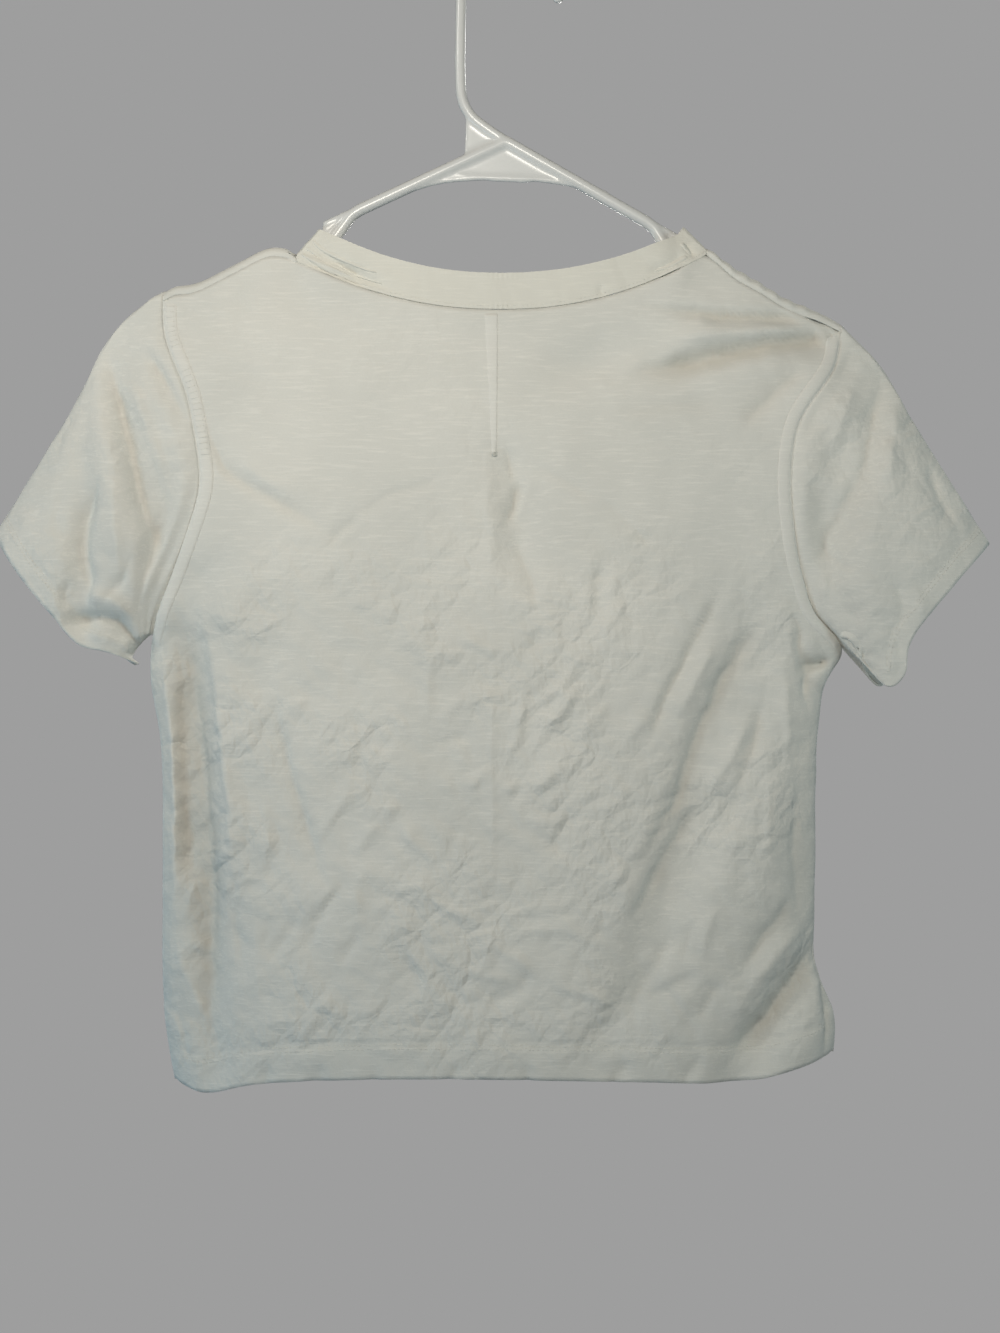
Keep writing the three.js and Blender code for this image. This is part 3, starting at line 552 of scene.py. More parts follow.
class Wire:
    """A socket of the finish that is being mixed. Sums on wires add their Math nodes."""

    def __init__(self, tree, socket=None):
        self.tree, self.socket = tree, socket

    def node(self, kind, settings=None, sockets=None, out=0):
        """Any node: its settings first, and then the values or wires of its sockets."""
        new = self.tree.nodes.new("ShaderNode" + kind)
        for name, value in (settings or {}).items():
            if name == "stops":
                ramp = new.color_ramp
                while len(ramp.elements) < len(value):
                    ramp.elements.new(0.5)
                for element, (at, colour) in zip(ramp.elements, value):
                    element.position, element.color = at, colour
            else:
                setattr(new, name, value)
        for name, value in (sockets or {}).items():
            if isinstance(value, Wire):
                self.tree.links.new(value.socket, new.inputs[name])
            else:
                new.inputs[name].default_value = value
        return Wire(self.tree, new.outputs[out])

    def math(self, operation, a, b=0.0):
        return self.node("Math", {"operation": operation}, {0: a, 1: b})

    def __add__(self, other):
        return self.math("ADD", self, other)

    def __mul__(self, other):
        return self.math("MULTIPLY", self, other)

    def __sub__(self, other):
        return self.math("SUBTRACT", self, other)

    def __rsub__(self, other):
        return self.math("SUBTRACT", other, self)

    __radd__, __rmul__ = __add__, __mul__


def finish_named(name):
    """A new material: its first wire, and its shader node."""
    finish = bpy.data.materials.new(name)
    finish.use_nodes = True
    return finish, Wire(finish.node_tree), finish.node_tree.nodes["Principled BSDF"]


def shaded(low, high, wire, factor):
    """A colour between two others."""
    return wire.node("Mix", {"data_type": "RGBA"}, {"Factor": factor, "A": low, "B": high}, out=2)


def slub_jersey(name, pale, dull, crease_depth):
    """Slub cotton jersey: short thick places in the yarn run across the cloth as faint streaks,
    and sharp small facets are left in it where it was crushed."""
    finish, wire, shader = finish_named(name)
    where = wire.node("TexCoord", out=3)
    long_way = wire.node("Mapping", {}, {"Vector": where, "Scale": (0.085, 0.6, 1.0)})
    slub = wire.node("TexNoise", {}, {"Vector": long_way, "Scale": 700.0, "Detail": 2.0,
                                      "Roughness": 0.6})
    thick = wire.node("MapRange", {"clamp": True}, {"Value": slub, 1: 0.5, 2: 0.78, 3: 0.0, 4: 1.0})
    fine = wire.node("TexNoise", {}, {"Vector": where, "Scale": 1100.0, "Detail": 1.5})
    cloud = wire.node("TexNoise", {}, {"Vector": where, "Scale": 11.0, "Detail": 3.0})
    patch = wire.node("MapRange", {"clamp": True}, {"Value": cloud, 1: 0.35, 2: 0.65, 3: 0.0, 4: 1.0})
    colour = shaded(dull, pale, wire, patch * 0.6 + thick * 0.8 + fine * 0.5 - 0.2)
    # Painted shade: the deeper a fold's trough, the more the colour turns towards a darker, warmer brown,
    # up to 65 %, for the shade and the warm light bounced between the folds.
    depth = wire.node("Attribute", {"attribute_name": "fold"}, out=2)
    painted_trough_shade = wire.node("MapRange", {"clamp": True}, {"Value": depth, 1: -0.3, 2: -6.0, 3: 0.0, 4: 0.65})
    colour = shaded(colour, (0.61, 0.58, 0.51, 1), wire, painted_trough_shade)
    wire.tree.links.new(colour.socket, shader.inputs["Base Color"])

    crush = wire.node("Attribute", {"attribute_name": "crush"}, out=2)
    flat = wire.node("Mapping", {}, {"Vector": where, "Rotation": (math.pi / 2, 0.0, 0.0)})
    waver = wire.node("TexNoise", {"noise_dimensions": "2D"},
                      {"Vector": flat, "Scale": 30.0, "Detail": 2.0}, out=1)
    facets = 0
    # each layer's turn in radians, how many facets a metre holds across and up, and their height
    for turn, scale, tall in ((-0.66, (42.0, 17.0, 1.0), 2.0), (0.4, (36.0, 22.0, 1.0), 1.5),
                              (-0.9, (98.0, 56.0, 1.0), 0.8), (0.2, (210.0, 130.0, 1.0), 0.35)):
        turned = wire.node("Mapping", {}, {"Vector": flat, "Rotation": (0.0, 0.0, turn)})
        cells = wire.node("VectorMath", {"operation": "MULTIPLY"}, {0: turned, 1: scale})
        bent = wire.node("VectorMath", {"operation": "MULTIPLY_ADD"},
                         {0: waver, 1: (0.8, 0.8, 0.0), 2: cells})
        edge = wire.node("TexVoronoi", {"feature": "DISTANCE_TO_EDGE", "voronoi_dimensions": "2D"},
                         {"Vector": bent, "Scale": 1.0})
        facets = edge * (tall * crease_depth) + facets
    calm = wire.node("TexNoise", {"noise_dimensions": "2D"}, {"Vector": flat, "Scale": 14.0, "Detail": 1.0})
    strength = wire.node("MapRange", {"clamp": True}, {"Value": calm, 1: 0.42, 2: 0.6, 3: 0.25, 4: 1.0})
    crush = crush * strength
    crushed_bump = wire.node("Bump", {}, {"Height": facets * crush, "Strength": 1.0, "Distance": 1 * mm})
    relief = thick * 0.5 + fine * 0.35
    bump = wire.node("Bump", {}, {"Height": relief, "Strength": 0.6, "Distance": 0.3 * mm,
                                  "Normal": crushed_bump})
    wire.tree.links.new(bump.socket, shader.inputs["Normal"])
    shader.inputs["Roughness"].default_value = 0.92
    shader.inputs["Specular IOR Level"].default_value = 0.25
    shader.inputs["Sheen Weight"].default_value = 0.12
    shader.inputs["Sheen Roughness"].default_value = 0.5
    return finish


jersey = slub_jersey("slub_jersey", (0.81, 0.795, 0.735, 1), (0.705, 0.70, 0.65, 1), 1.6)
pressed = slub_jersey("pressed_seam", (0.83, 0.815, 0.755, 1), (0.745, 0.735, 0.685, 1), 0.3)


def dress(piece, finish, slot, *nodes):
    """Gives the piece its finish and ties it to the frame."""
    piece.data.materials.clear()
    piece.data.materials.append(finish)
    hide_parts(*nodes)
    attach(piece, "root")


def thicken(piece, wall):
    """Gives a skin its wall, which grows inward."""
    shell = piece.modifiers.new("wall", "SOLIDIFY")
    shell.thickness, shell.offset = wall, -1
    settle(piece)


thicken(back, JERSEY_WALL)
dress(back, jersey, "jersey", "back_panel")

# ---------------------------------------------------------------- front panel
# The front of the shirt, cut lower at the neck. It reaches over the shoulders to the seams behind
# the hanger's arms, where its edge is eased in, and it hangs a little fuller than the back.

FRONT_CREASES = [
    ([(-122, -236), (-100, -262), (-70, -296), (-48, -330)], 7, -2.4, 1),
    ([(-186, -300), (-160, -330), (-130, -350), (-96, -372)], 7, -2.6, 1),
    ([(-176, -270), (-150, -300), (-118, -322)], 6, 1.5, 0),
    ([(168, -306), (140, -338), (108, -362), (84, -380)], 7, -2.6, -1),
    ([(104, -240), (88, -262), (66, -292), (54, -326)], 7, -2.2, -1),
    ([(160, -272), (136, -296), (108, -318)], 6, 1.4, 0),
    ([(-40, -300), (0, -306), (40, -302)], 8, -1.2, 0),
    ([(-196, -420), (-168, -452), (-142, -490), (-122, -540), (-108, -586)], 7, -3.4, 1),
    ([(-180, -414), (-150, -440), (-118, -482), (-98, -520)], 6, -2.0, 1),
    ([(-206, -440), (-196, -500), (-192, -560), (-190, -630), (-184, -684)], 8, -3.6, 0),
    ([(178, -424), (152, -460), (130, -500), (112, -548), (98, -600)], 7, -3.4, -1),
    ([(160, -414), (130, -446), (104, -486)], 6, -2.0, -1),
    ([(184, -470), (178, -530), (176, -600), (172, -670)], 8, -3.2, 0),
    ([(-150, -620), (-138, -648), (-136, -680)], 6, -2.0, 1),
    ([(-92, -590), (-80, -630), (-84, -676)], 6, -2.0, -1),
    ([(-30, -540), (-38, -590), (-26, -640), (-30, -684)], 7, -2.2, 1),
    ([(42, -560), (52, -610), (44, -660)], 6, -2.0, -1),
    ([(96, -620), (112, -650), (110, -684)], 6, -2.2, -1),
    ([(150, -610), (158, -640), (146, -676)], 6, -2.0, 1),
    ([(-60, -420), (-30, -436), (2, -430)], 5, -1.2, 1),
    ([(20, -400), (52, -420), (80, -424)], 5, -1.3, -1),
    ([(-70, -500), (-40, -516), (-16, -508)], 5, 1.3, 1),
    ([(10, -480), (34, -502), (66, -506)], 5, 1.2, -1),
    ([(-20, -560), (10, -552), (34, -566)], 4.5, 1.2, 1),
    ([(60, -546), (80, -566), (84, -590)], 4.5, -1.2, 1),
    ([(-88, -556), (-70, -574), (-66, -600)], 4.5, 1.2, -1),
    ([(-6, -606), (16, -618), (24, -636)], 4.5, 1.2, 1),
    ([(-60, -650), (-44, -660), (-20, -662)], 4, -1.1, 1),
    ([(120, -560), (128, -586), (122, -606)], 5, -1.4, 1),
    ([(-130, -510), (-134, -540), (-124, -566)], 5, 1.4, 0),
]

front = made("front_panel", skin_of("front_panel", JERSEY_WALL))
smooth_through(front, 3)
at = measured(front, FRONT_CREASES, shoulder_hold=(6, 30))
lift = at.folds - 0.4 * groove(at.shoulder)
lift += panel_surface(at, [(23, 32, 2.0, -0.8, 1.7), (31, 16, 0.8, 0.5, 1.4)], [(27, 46, 0.9, 0.2, 1.4)])
# The edge eased into the right shoulder seam stands up in small gathers, 9.3 mm apart.
across = at.flat[:, 0]
gathers = ease(118, 128, across) * ease(196, 180, across) * ease(17, 4, at.shoulder)
waves = np.abs(np.sin(across * math.pi / 9.3)) ** 1.5
lift += gathers * (0.55 + 0.9 * waves) * ease(0, 3, at.shoulder)
over = ease(30, 20, at.shoulder)[:, None]
away = outward(front.data) * (0.4 + 0.6 * over) + np.array([0, 0.6, 0]) * (1 - over)
raised(front, away, lift, np.maximum(ease(-0.1, 0.4, outward(front.data)[:, 1]), over[:, 0]))
note_finish(front, at)
sew(front, lambda x, z: on_shoulder(x, z) or (z < UNDERARM and not on_hem(x, z)), [back_skin], 8)
front_skin = front.data.copy()
thicken(front, JERSEY_WALL)
dress(front, jersey, "jersey", "front_panel")

# ---------------------------------------------------------------- sleeves
# Two short set-in sleeves, each one tube of the same jersey with its seam under the arm. They hang
# down from the shoulders, so deep folds run from the shoulder point to the underarm.

# A crease of the sleeve's back and of its front: stops, width, height, lean.
LEFT_BACK = [
    ([(-247, -250), (-244, -269), (-233, -306), (-225, -344), (-217, -366), (-209, -381)], 4.4, -6.4, -1),
    ([(-228, -246), (-217, -262), (-204, -282), (-196, -298), (-190, -312)], 4, -5.0, -1),
    ([(-236, -258), (-225, -291), (-212, -325), (-204, -346)], 4.8, 3.0, 0),
    ([(-250, -326), (-256, -352), (-260, -374), (-256, -394), (-260, -412)], 4.4, -5.2, -1),
    ([(-240, -330), (-240, -362), (-236, -392)], 7.2, 2.6, 0),
    ([(-276, -416), (-264, -417), (-250, -416), (-240, -419), (-233, -428), (-228, -438)], 4.5, -7.0, -1),
    ([(-262, -402), (-248, -403), (-238, -408), (-230, -418)], 4.5, 3.4, 0),
    ([(-270, -330), (-276, -352), (-272, -372)], 6.4, -1.4, 1),
    ([(-232, -384), (-238, -396), (-250, -406)], 3.2, -2.2, -1),
    ([(-268, -392), (-272, -404), (-268, -414)], 3.2, -2.2, 1),
]
LEFT_FRONT = [
    ([(-240, -252), (-232, -290), (-222, -330), (-206, -372)], 4.8, -4.0, 1),
    ([(-222, -244), (-206, -276), (-196, -304)], 4, -2.8, 1),
    ([(-256, -320), (-250, -356), (-238, -392)], 4.8, -3.0, 1),
    ([(-274, -330), (-276, -360), (-266, -392)], 4.8, 1.6, 0),
    ([(-250, -404), (-236, -412), (-224, -428)], 4, -2.4, 1),
]
RIGHT_BACK = [
    ([(231, -258), (227, -278), (221, -301), (216, -323), (206, -344), (195, -364), (190, -382)],
     6.4, -4.2, 1),
    ([(238, -284), (233, -310), (226, -336)], 4.8, 1.8, 0),
    ([(214, -246), (207, -256), (195, -276), (184, -293), (177, -314)], 4.8, -3.0, 1),
    ([(212, -272), (204, -292), (196, -318)], 4.8, 1.8, 0),
    ([(256, -318), (260, -334), (268, -350), (276, -364)], 4, -2.6, -1),
    ([(190, -362), (196, -378), (206, -386), (214, -382)], 4, -1.5, 1),
    ([(198, -396), (204, -410), (216, -420)], 4, -1.4, 1),
    ([(196, -384), (192, -402), (198, -424)], 4.8, 1.2, 0),
    ([(204, -429), (212, -434), (218, -446), (224, -456)], 2.9, -2.4, 1),
    ([(232, -392), (238, -408), (236, -424)], 5.6, -1.6, -1),
    ([(244, -396), (250, -408), (248, -418)], 4, 1.2, 0),
    ([(228, -418), (236, -428), (238, -440)], 3.2, -1.3, -1),
]
RIGHT_FRONT = [
    ([(226, -260), (216, -300), (204, -340), (192, -378)], 5.6, -3.8, -1),
    ([(208, -250), (192, -282), (182, -312)], 4, -2.6, -1),
    ([(246, -310), (240, -350), (224, -392)], 4.8, -2.8, -1),
    ([(264, -330), (262, -360), (250, -388)], 4.8, 1.5, 0),
    ([(232, -410), (222, -424), (214, -440)], 4, -2.2, -1),
]
CUFF_HEM = 12.5  # depth of the sleeve's turned-up hem, in mm
UNDERARM_POINT = (-227 * mm, 0, -437 * mm)  # where the left sleeve's cuff and seam come close


def on_left_cuff(x, z):
    return x < -226 and z < -300


def on_right_cuff(x, z):
    return x > 211 and z < -300


cuff_of = {"left": on_left_cuff, "right": on_right_cuff}
sleeve_skin, sleeve = {}, {}
for side, creases_behind, creases_before in (
        ("left", LEFT_BACK, LEFT_FRONT), ("right", RIGHT_BACK, RIGHT_FRONT)):
    on_cuff = cuff_of[side]
    piece = made("sleeve_" + side, skin_of("sleeve_" + side, JERSEY_WALL))
    smooth_through(piece, 3)
    flat = points_of(piece.data)[:, ::2] / mm
    cuff, arm = far_from(piece, on_cuff), far_from(piece, lambda x, z: not on_cuff(x, z))
    behind = ease(0.3, -0.3, outward(piece.data)[:, 1])
    sewn = ease(0, 12, arm)
    wavered = wandering(flat, 1.2)
    folds = creased(wavered, creases_behind) * behind + creased(wavered, creases_before) * (1 - behind)
    lift = folds + crushed(flat, [(41, 34, 1.8, 1.1, 1.8), (47, 15, 0.9, 0.9, 1.4)])
    lift = lift * (0.2 + 0.8 * sewn) - 0.5 * groove(arm)
    lift += double_cloth(cuff, CUFF_HEM, CUFF_HEM, 0.35, 0.5)
    away = outward(piece.data) * 0.4 + np.outer(1 - 2 * behind, (0, 0.6, 0))
    raised(piece, away, lift, ease(0.05, 0.45, np.abs(outward(piece.data)[:, 1])))
    note(piece, "crush", 0.6 * sewn)
    # The fold depth kept here is painted as shade in the sleeves' troughs, at about a third of its
    # strength.
    note(piece, "fold", folds * 0.35)
    sew(piece, lambda x, z: not on_cuff(x, z), [back_skin, front_skin], 8)
    if side == "left":
        calmed(piece, UNDERARM_POINT, 13 * mm, 130)
    sleeve_skin[side] = piece.data.copy()
    thicken(piece, JERSEY_WALL)
    dress(piece, jersey, "jersey", "sleeve_" + side)
    sleeve[side] = piece

# ---------------------------------------------------------------- turned-up hems
# The bottom edge and the sleeves' edges are turned up once to the inside and held by two rows of
# stitches. Each turned-up layer is a strip of the panel's own cloth that lies just inside it.


def open_chains(mesh, keep):
    """The runs of a mesh's open edge that keep() takes, each as points in order, longest first."""
    shape = opened(mesh)
    edges = [e for e in shape.edges if e.is_boundary
             and all(keep(v.co.x / mm, v.co.z / mm) for v in e.verts)]
    near = {}
    for e in edges:
        for v in e.verts:
            near.setdefault(v, []).append(e.other_vert(v))
    chains, left = [], set(near)
    while left:
        ends = [v for v in left if len(near[v]) == 1]
        v = min(ends or left, key=lambda v: v.index)
        chain = []
        while v is not None:
            chain.append(v.co.copy())
            left.discard(v)
            v = next((n for n in near[v] if n in left), None)
        if not ends:
            chain.append(chain[0].copy())
        chains.append(np.array(chain))
    shape.free()
    return sorted(chains, key=len, reverse=True)


def evenly(chain, step):
    """A chain's points again, one step apart, with the way that it runs at each."""
    run = np.concatenate([[0], np.cumsum(np.linalg.norm(np.diff(chain, axis=0), axis=1))])
    at = np.linspace(0, run[-1], max(2, int(round(run[-1] / step)) + 1))

    def spots_at(along):
        return np.stack([np.interp(along, run, chain[:, k]) for k in range(3)], 1)

    ways = spots_at(at + 4 * mm) - spots_at(at - 4 * mm)
    return spots_at(at), ways / np.linalg.norm(ways, axis=1)[:, None]


def beside(tree, chain, step, insets):
    """Places on the cloth beside an edge: for each step along it, one place for each inset in mm.
    A place is its point, the cloth's outward normal there, and the way that the edge runs."""
    rows = []
    for spot, way in zip(*evenly(chain, step)):
        spot, way = Vector(spot), Vector(way)
        normal = tree.find_nearest(spot)[1]
        inward = min((normal.cross(way), way.cross(normal)),
                     key=lambda d: tree.find_nearest(spot + d.normalized() * 4 * mm)[3])
        row, last, gone = [], spot, 0
        for inset in insets:
            point, normal, _, _ = tree.find_nearest(last + inward.normalized() * (inset - gone) * mm)
            step_in = point - last
            if inset > 1 and step_in.length > 0.3 * mm:
                inward = step_in
            last, gone = point, inset
            row.append((point, normal, way))
        rows.append(row)
    return rows


def laid_strip(name, rows, heights, fading=0):
    """A strip whose points lie on those places, each raised by its column's height in mm. Over
    the fading rows at either end it sinks into the cloth."""
    strip = bmesh.new()
    across, along = len(heights), len(rows)
    bmesh.ops.create_grid(strip, x_segments=across - 1, y_segments=along - 1, size=1)
    for v in strip.verts:
        i = round((v.co.y + 1) / 2 * (along - 1))
        j = round((v.co.x + 1) / 2 * (across - 1))
        point, normal, _ = rows[i][j]
        full = 1 if not fading else ease(0, fading, i) * ease(0, fading, along - 1 - i)
        v.co = point + normal * (heights[j] * full - 0.9 * (1 - full)) * mm
    strip.normal_update()
    middle = strip.faces[:][len(strip.faces) // 2]
    if middle.normal.dot(rows[len(rows) // 2][across // 2][1]) < 0:
        bmesh.ops.reverse_faces(strip, faces=strip.faces)
    return made(name, strip)


TURN_UP = 0.9 * mm
INSIDE = -1.6  # how deep under the outer skin a turned-up layer lies, in mm
cloths = {"back": back_skin, "front": front_skin, **sleeve_skin}
trees = {key: tree_of(skin) for key, skin in cloths.items()}

# Each turned-up edge: its node, the open edge, the layer's columns and the two rows of stitches,
# as distances from the edge in mm.
HEM_COLUMNS, HEM_STITCHES = (1.0, 5, 9, 13, 17, HEM_HEIGHT - 0.5), (HEM_HEIGHT - 0.5, HEM_HEIGHT - 3)
CUFF_COLUMNS, CUFF_STITCHES = (1.0, 4, 7, 10, CUFF_HEM + 0.5), (CUFF_HEM - 0.5, CUFF_HEM - 2.8)
TURNED_UP = {
    "back": ("hem_back", on_hem, HEM_COLUMNS, HEM_STITCHES),
    "front": ("hem_front", on_hem, HEM_COLUMNS, HEM_STITCHES),
    "left": ("sleeve_hem_left", on_left_cuff, CUFF_COLUMNS, CUFF_STITCHES),
    "right": ("sleeve_hem_right", on_right_cuff, CUFF_COLUMNS, CUFF_STITCHES),
}
hems = {}
for key, (name, on_edge, columns, _) in TURNED_UP.items():
    rows = beside(trees[key], open_chains(cloths[key], on_edge)[0], 2.5 * mm, columns)
    hems[key] = laid_strip(name, rows, [INSIDE] * len(columns))
    thicken(hems[key], TURN_UP)
    dress(hems[key], jersey, "jersey", name)

# ---------------------------------------------------------------- pressed armhole seams
# Where a sleeve is sewn in, the seam allowances are pressed towards the body and held down, which
# makes a raised band along the armhole. Under the shoulder seams the allowances lie open instead,
# and a strip of jersey there keeps the seam from showing the inside of the shirt.


def armhole_edge(skin, side):
    """An armhole's edge without the bit of shoulder seam before its corner. side: -1 is left."""
    chain = open_chains(skin, lambda x, z: x * side > 0 and on_armhole(x, z))[0]
    corner = int(np.argmax(chain[:, 0] * side + chain[:, 2]))
    return chain[corner:] if corner < len(chain) / 2 else chain[:corner + 1][::-1]


def under_seam(name, tree, chain):
    """The two cut edges of a seam, which lie open under it."""
    rows = []
    for spot, way in zip(*evenly(chain, 3 * mm)):
        normal = tree.find_nearest(Vector(spot))[1]
        side = normal.cross(Vector(way)).normalized()
        rows.append([(Vector(spot) + side * t * mm, normal, Vector(way)) for t in (-4, -2, 0, 2, 4)])
    return laid_strip(name, rows, [-1.4] * 5)


shoulder_seams = open_chains(back_skin, lambda x, z: z > -250 and not on_neck(x, z))[:2]
for side, chain in zip(("left", "right"), sorted(shoulder_seams, key=lambda chain: chain[0][0])):
    allowance = under_seam("shoulder_allowance_" + side, trees["back"], chain)
    thicken(allowance, 0.8 * mm)
    dress(allowance, jersey, "jersey")

# The band's columns: their distances from the seam and their heights over the panel, in mm.
BAND_COLUMNS = (0.5, 1.3, 2.4, 4.2, 6.2, 7.6, 8.5, 9.2)
BAND_HEIGHTS = [-0.35, 0.3, 0.62, 0.7, 0.7, 0.6, 0.3, -0.35]
bands = {"back": [], "front": []}
for key, panel_bands in bands.items():
    for side, sign in (("left", -1), ("right", 1)):
        rows = beside(trees[key], armhole_edge(cloths[key], sign), 2 * mm, BAND_COLUMNS)
        rows = [row for row in rows if (row[-1][0] - row[0][0]).length > 7.6 * mm]
        name = "armhole_seam_%s_%s" % (key, side)
        piece = laid_strip(name, rows, BAND_HEIGHTS, 4)
        thicken(piece, 0.35 * mm)
        dress(piece, pressed, "jersey", name)
        panel_bands.append(piece)

# ---------------------------------------------------------------- centre back tuck
# A narrow fold of the back, stitched down from the neck seam between the shoulder blades, where it
# ends in a small bar of stitches.

# height down the back, left edge and right edge of the fold, in mm
TUCK = [(-229, -16.2, -7.2), (-250, -15.0, -7.2), (-280, -13.4, -7.6), (-304, -12.0, -8.0),
        (-317, -11.4, -8.6)]
tuck_rows = []
for z, left, right in curve_through(TUCK, 2.5):
    row = []
    for t in (0, 0.08, 0.3, 0.55, 0.8, 0.93, 1):
        on_cloth = seen_from_behind(trees["back"], (left + (right - left) * t) * mm, z * mm)
        row.append((*on_cloth, Vector((0, 0, -1))))
    tuck_rows.append(row)
tuck = laid_strip("centre_back_tuck", tuck_rows, [-0.3, 0.1, 0.25, 0.35, 0.4, 0.25, -0.3])
thicken(tuck, 0.35 * mm)
dress(tuck, pressed, "jersey", "centre_back_tuck")

# ---------------------------------------------------------------- neckband
# A band of doubled rib knit, folded along its free edge and sewn in all round the neck. At both
# shoulders it is pushed together into a few sharp folds, which are strips of their own on the band.

RIB_WALL = 2 * mm
band = made("neckband", skin_of("neckband", RIB_WALL))
smooth_through(band, 4)
there = points_of(band.data)
flat = there[:, ::2] / mm
seam = far_from(band, lambda x, z: True)

BAND_CREASES = [
    ([(-124, -181), (-117, -189), (-109, -195), (-98, -202), (-84, -207)], 3.4, -2.8, 1),
    ([(-130, -187), (-120, -192), (-108, -199), (-93, -206), (-70, -215)], 3.0, -2.6, 1),
    ([(-132, -193), (-120, -199), (-110, -204), (-100, -208), (-84, -214)], 3.0, -2.4, 1),
    ([(-126, -184), (-115, -190), (-103, -197), (-90, -203)], 3.4, 1.6, 0),
    ([(-130, -191), (-119, -196), (-107, -202), (-90, -208)], 2.8, 1.5, 0),
    ([(107, -184), (112, -190), (115, -194)], 3.0, -2.0, 0),
    ([(85, -205), (97, -199), (110, -191)], 3.4, -1.8, 1),
    ([(57, -210), (55, -215), (58, -219)], 2.4, -1.0, 1),
]
behind = ease(0.3, -0.3, outward(band.data)[:, 1])
lift = creased(wandering(flat, 0.8), BAND_CREASES) * behind
lift += 0.12 * np.sin(flat[:, 0] * 2.1) * ease(6, 1.5, seam)
lift += crushed(flat, [(61, 22, 0.7, 0.3, 2.0)])
place(band.data, there + outward(band.data) * lift[:, None] * mm)
band_skin = band.data.copy()
thicken(band, RIB_WALL)
soft_edge = band.modifiers.new("folded_edge", "BEVEL")
soft_edge.width, soft_edge.segments = 0.7 * mm, 3
soft_edge.limit_method, soft_edge.angle_limit = "ANGLE", math.radians(50)
settle(band)
rib = slub_jersey("rib_knit", (0.82, 0.80, 0.72, 1), (0.75, 0.735, 0.665, 1), 0.3)
dress(band, rib, "rib", "neckband")

# Small sharp folds, five on the band and one where the right sleeve's edge curls under the arm:
# the cloth, stops across and up with a width there, and the fold's height, all in mm.
PLEATS = [
    ("band", [(-124, -180, 2), (-116, -188, 2.6), (-105, -194.5, 2.4), (-90, -201, 1.4),
              (-80, -204, 0.8)], 0.6),
    ("band", [(-129, -184, 2), (-121, -190, 2.6), (-109, -198, 2.4), (-94, -205, 1.4),
              (-76, -211, 0.8)], 0.55),
    ("band", [(-131, -189, 2), (-123, -194.5, 2.4), (-111, -202.5, 2.2), (-100, -207.5, 1.4),
              (-86, -212, 0.8)], 0.5),
    ("band", [(104, -183, 3), (109, -188, 3), (112, -192, 2)], 0.9),
    ("band", [(87, -203, 1), (98, -199, 3), (110, -192, 3)], 0.8),
    ("right", [(198, -430, 2), (202, -426, 4), (208, -427, 4), (213, -433, 4), (216, -441, 2)], 1.5),
]
band_tree = tree_of(band_skin)
under = {"band": (band_tree, rib, "rib"), "right": (trees["right"], jersey, "jersey")}
for k, (where, stops, height) in enumerate(PLEATS):
    tree, finish, slot = under[where]
    line = curve_through(stops, 1.2)
    rows = []
    for i, (x, z, width) in enumerate(line):
        before, after = line[max(i - 1, 0)], line[min(i + 1, len(line) - 1)]
        side = Vector((after[1] - before[1], 0, before[0] - after[0])).normalized()
        row = []
        for t in (-0.5, -0.3, -0.12, 0.05, 0.2, 0.36, 0.5):
            spot = Vector((x * mm, 0, z * mm)) + side * t * width * 1.3 * mm
            row.append((*seen_from_behind(tree, spot.x, spot.z), side))
        if all(point for point, _, _ in row):
            rows.append(row)
    profile = [-0.5, 0.1 * height, 0.55 * height, 0.9 * height, height, 0.6 * height, -0.5]
    pleat = laid_strip("pleat_%d" % k, rows, profile, 3)
    thicken(pleat, 0.3 * mm)
    dress(pleat, finish, slot)

# ---------------------------------------------------------------- stitches
# Cotton thread: two rows along every turned-up edge, one row on the band beside the neck seam, the
# ladder across parts of the left armhole's bands, and the bar that ends the tuck.

thread, wire, shader = finish_named("cotton_thread")
twist = wire.node("TexNoise", {}, {"Scale": 2400.0, "Vector": wire.node("TexCoord", out=3)})
wire.tree.links.new(shaded((0.72, 0.71, 0.65, 1), (0.84, 0.83, 0.77, 1), wire, twist).socket,
                    shader.inputs["Base Color"])
shader.inputs["Roughness"].default_value = 0.75


def sewn_rows(name, stitches):
    """Stitches as small tight loops of thread. Each is its middle, its way, the cloth's normal
    there, and its length and width in mm."""
    shape = bmesh.new()
    for middle, way, normal, length, width in stitches:
        way = (way - normal * way.dot(normal)).normalized()
        side = normal.cross(way)
        turn = Matrix((way, side, normal)).transposed().to_4x4()
        size = Matrix.Diagonal((length / 2 * mm, width / 2 * mm, width / 2 * mm, 1))
        bmesh.ops.create_uvsphere(shape, u_segments=6, v_segments=4, radius=1,
                                  matrix=Matrix.Translation(middle) @ turn @ size)
    piece = made(name, shape)
    dress(piece, thread, "jersey")
    return piece


def row_beside(tree, chain, inset, pitch, length, width):
    """A row of stitches inset mm from an edge, without those that stray nearer to it."""
    rows = beside(tree, chain, pitch * mm, (min(3, inset * 0.5), inset))
    last = [row[-1] for row in rows]
    return [(point + normal * width * 0.2 * mm, way, normal, length, width) for point, normal, way in last
            if np.linalg.norm(chain - np.array(point), axis=1).min() > (inset - 0.9) * mm]


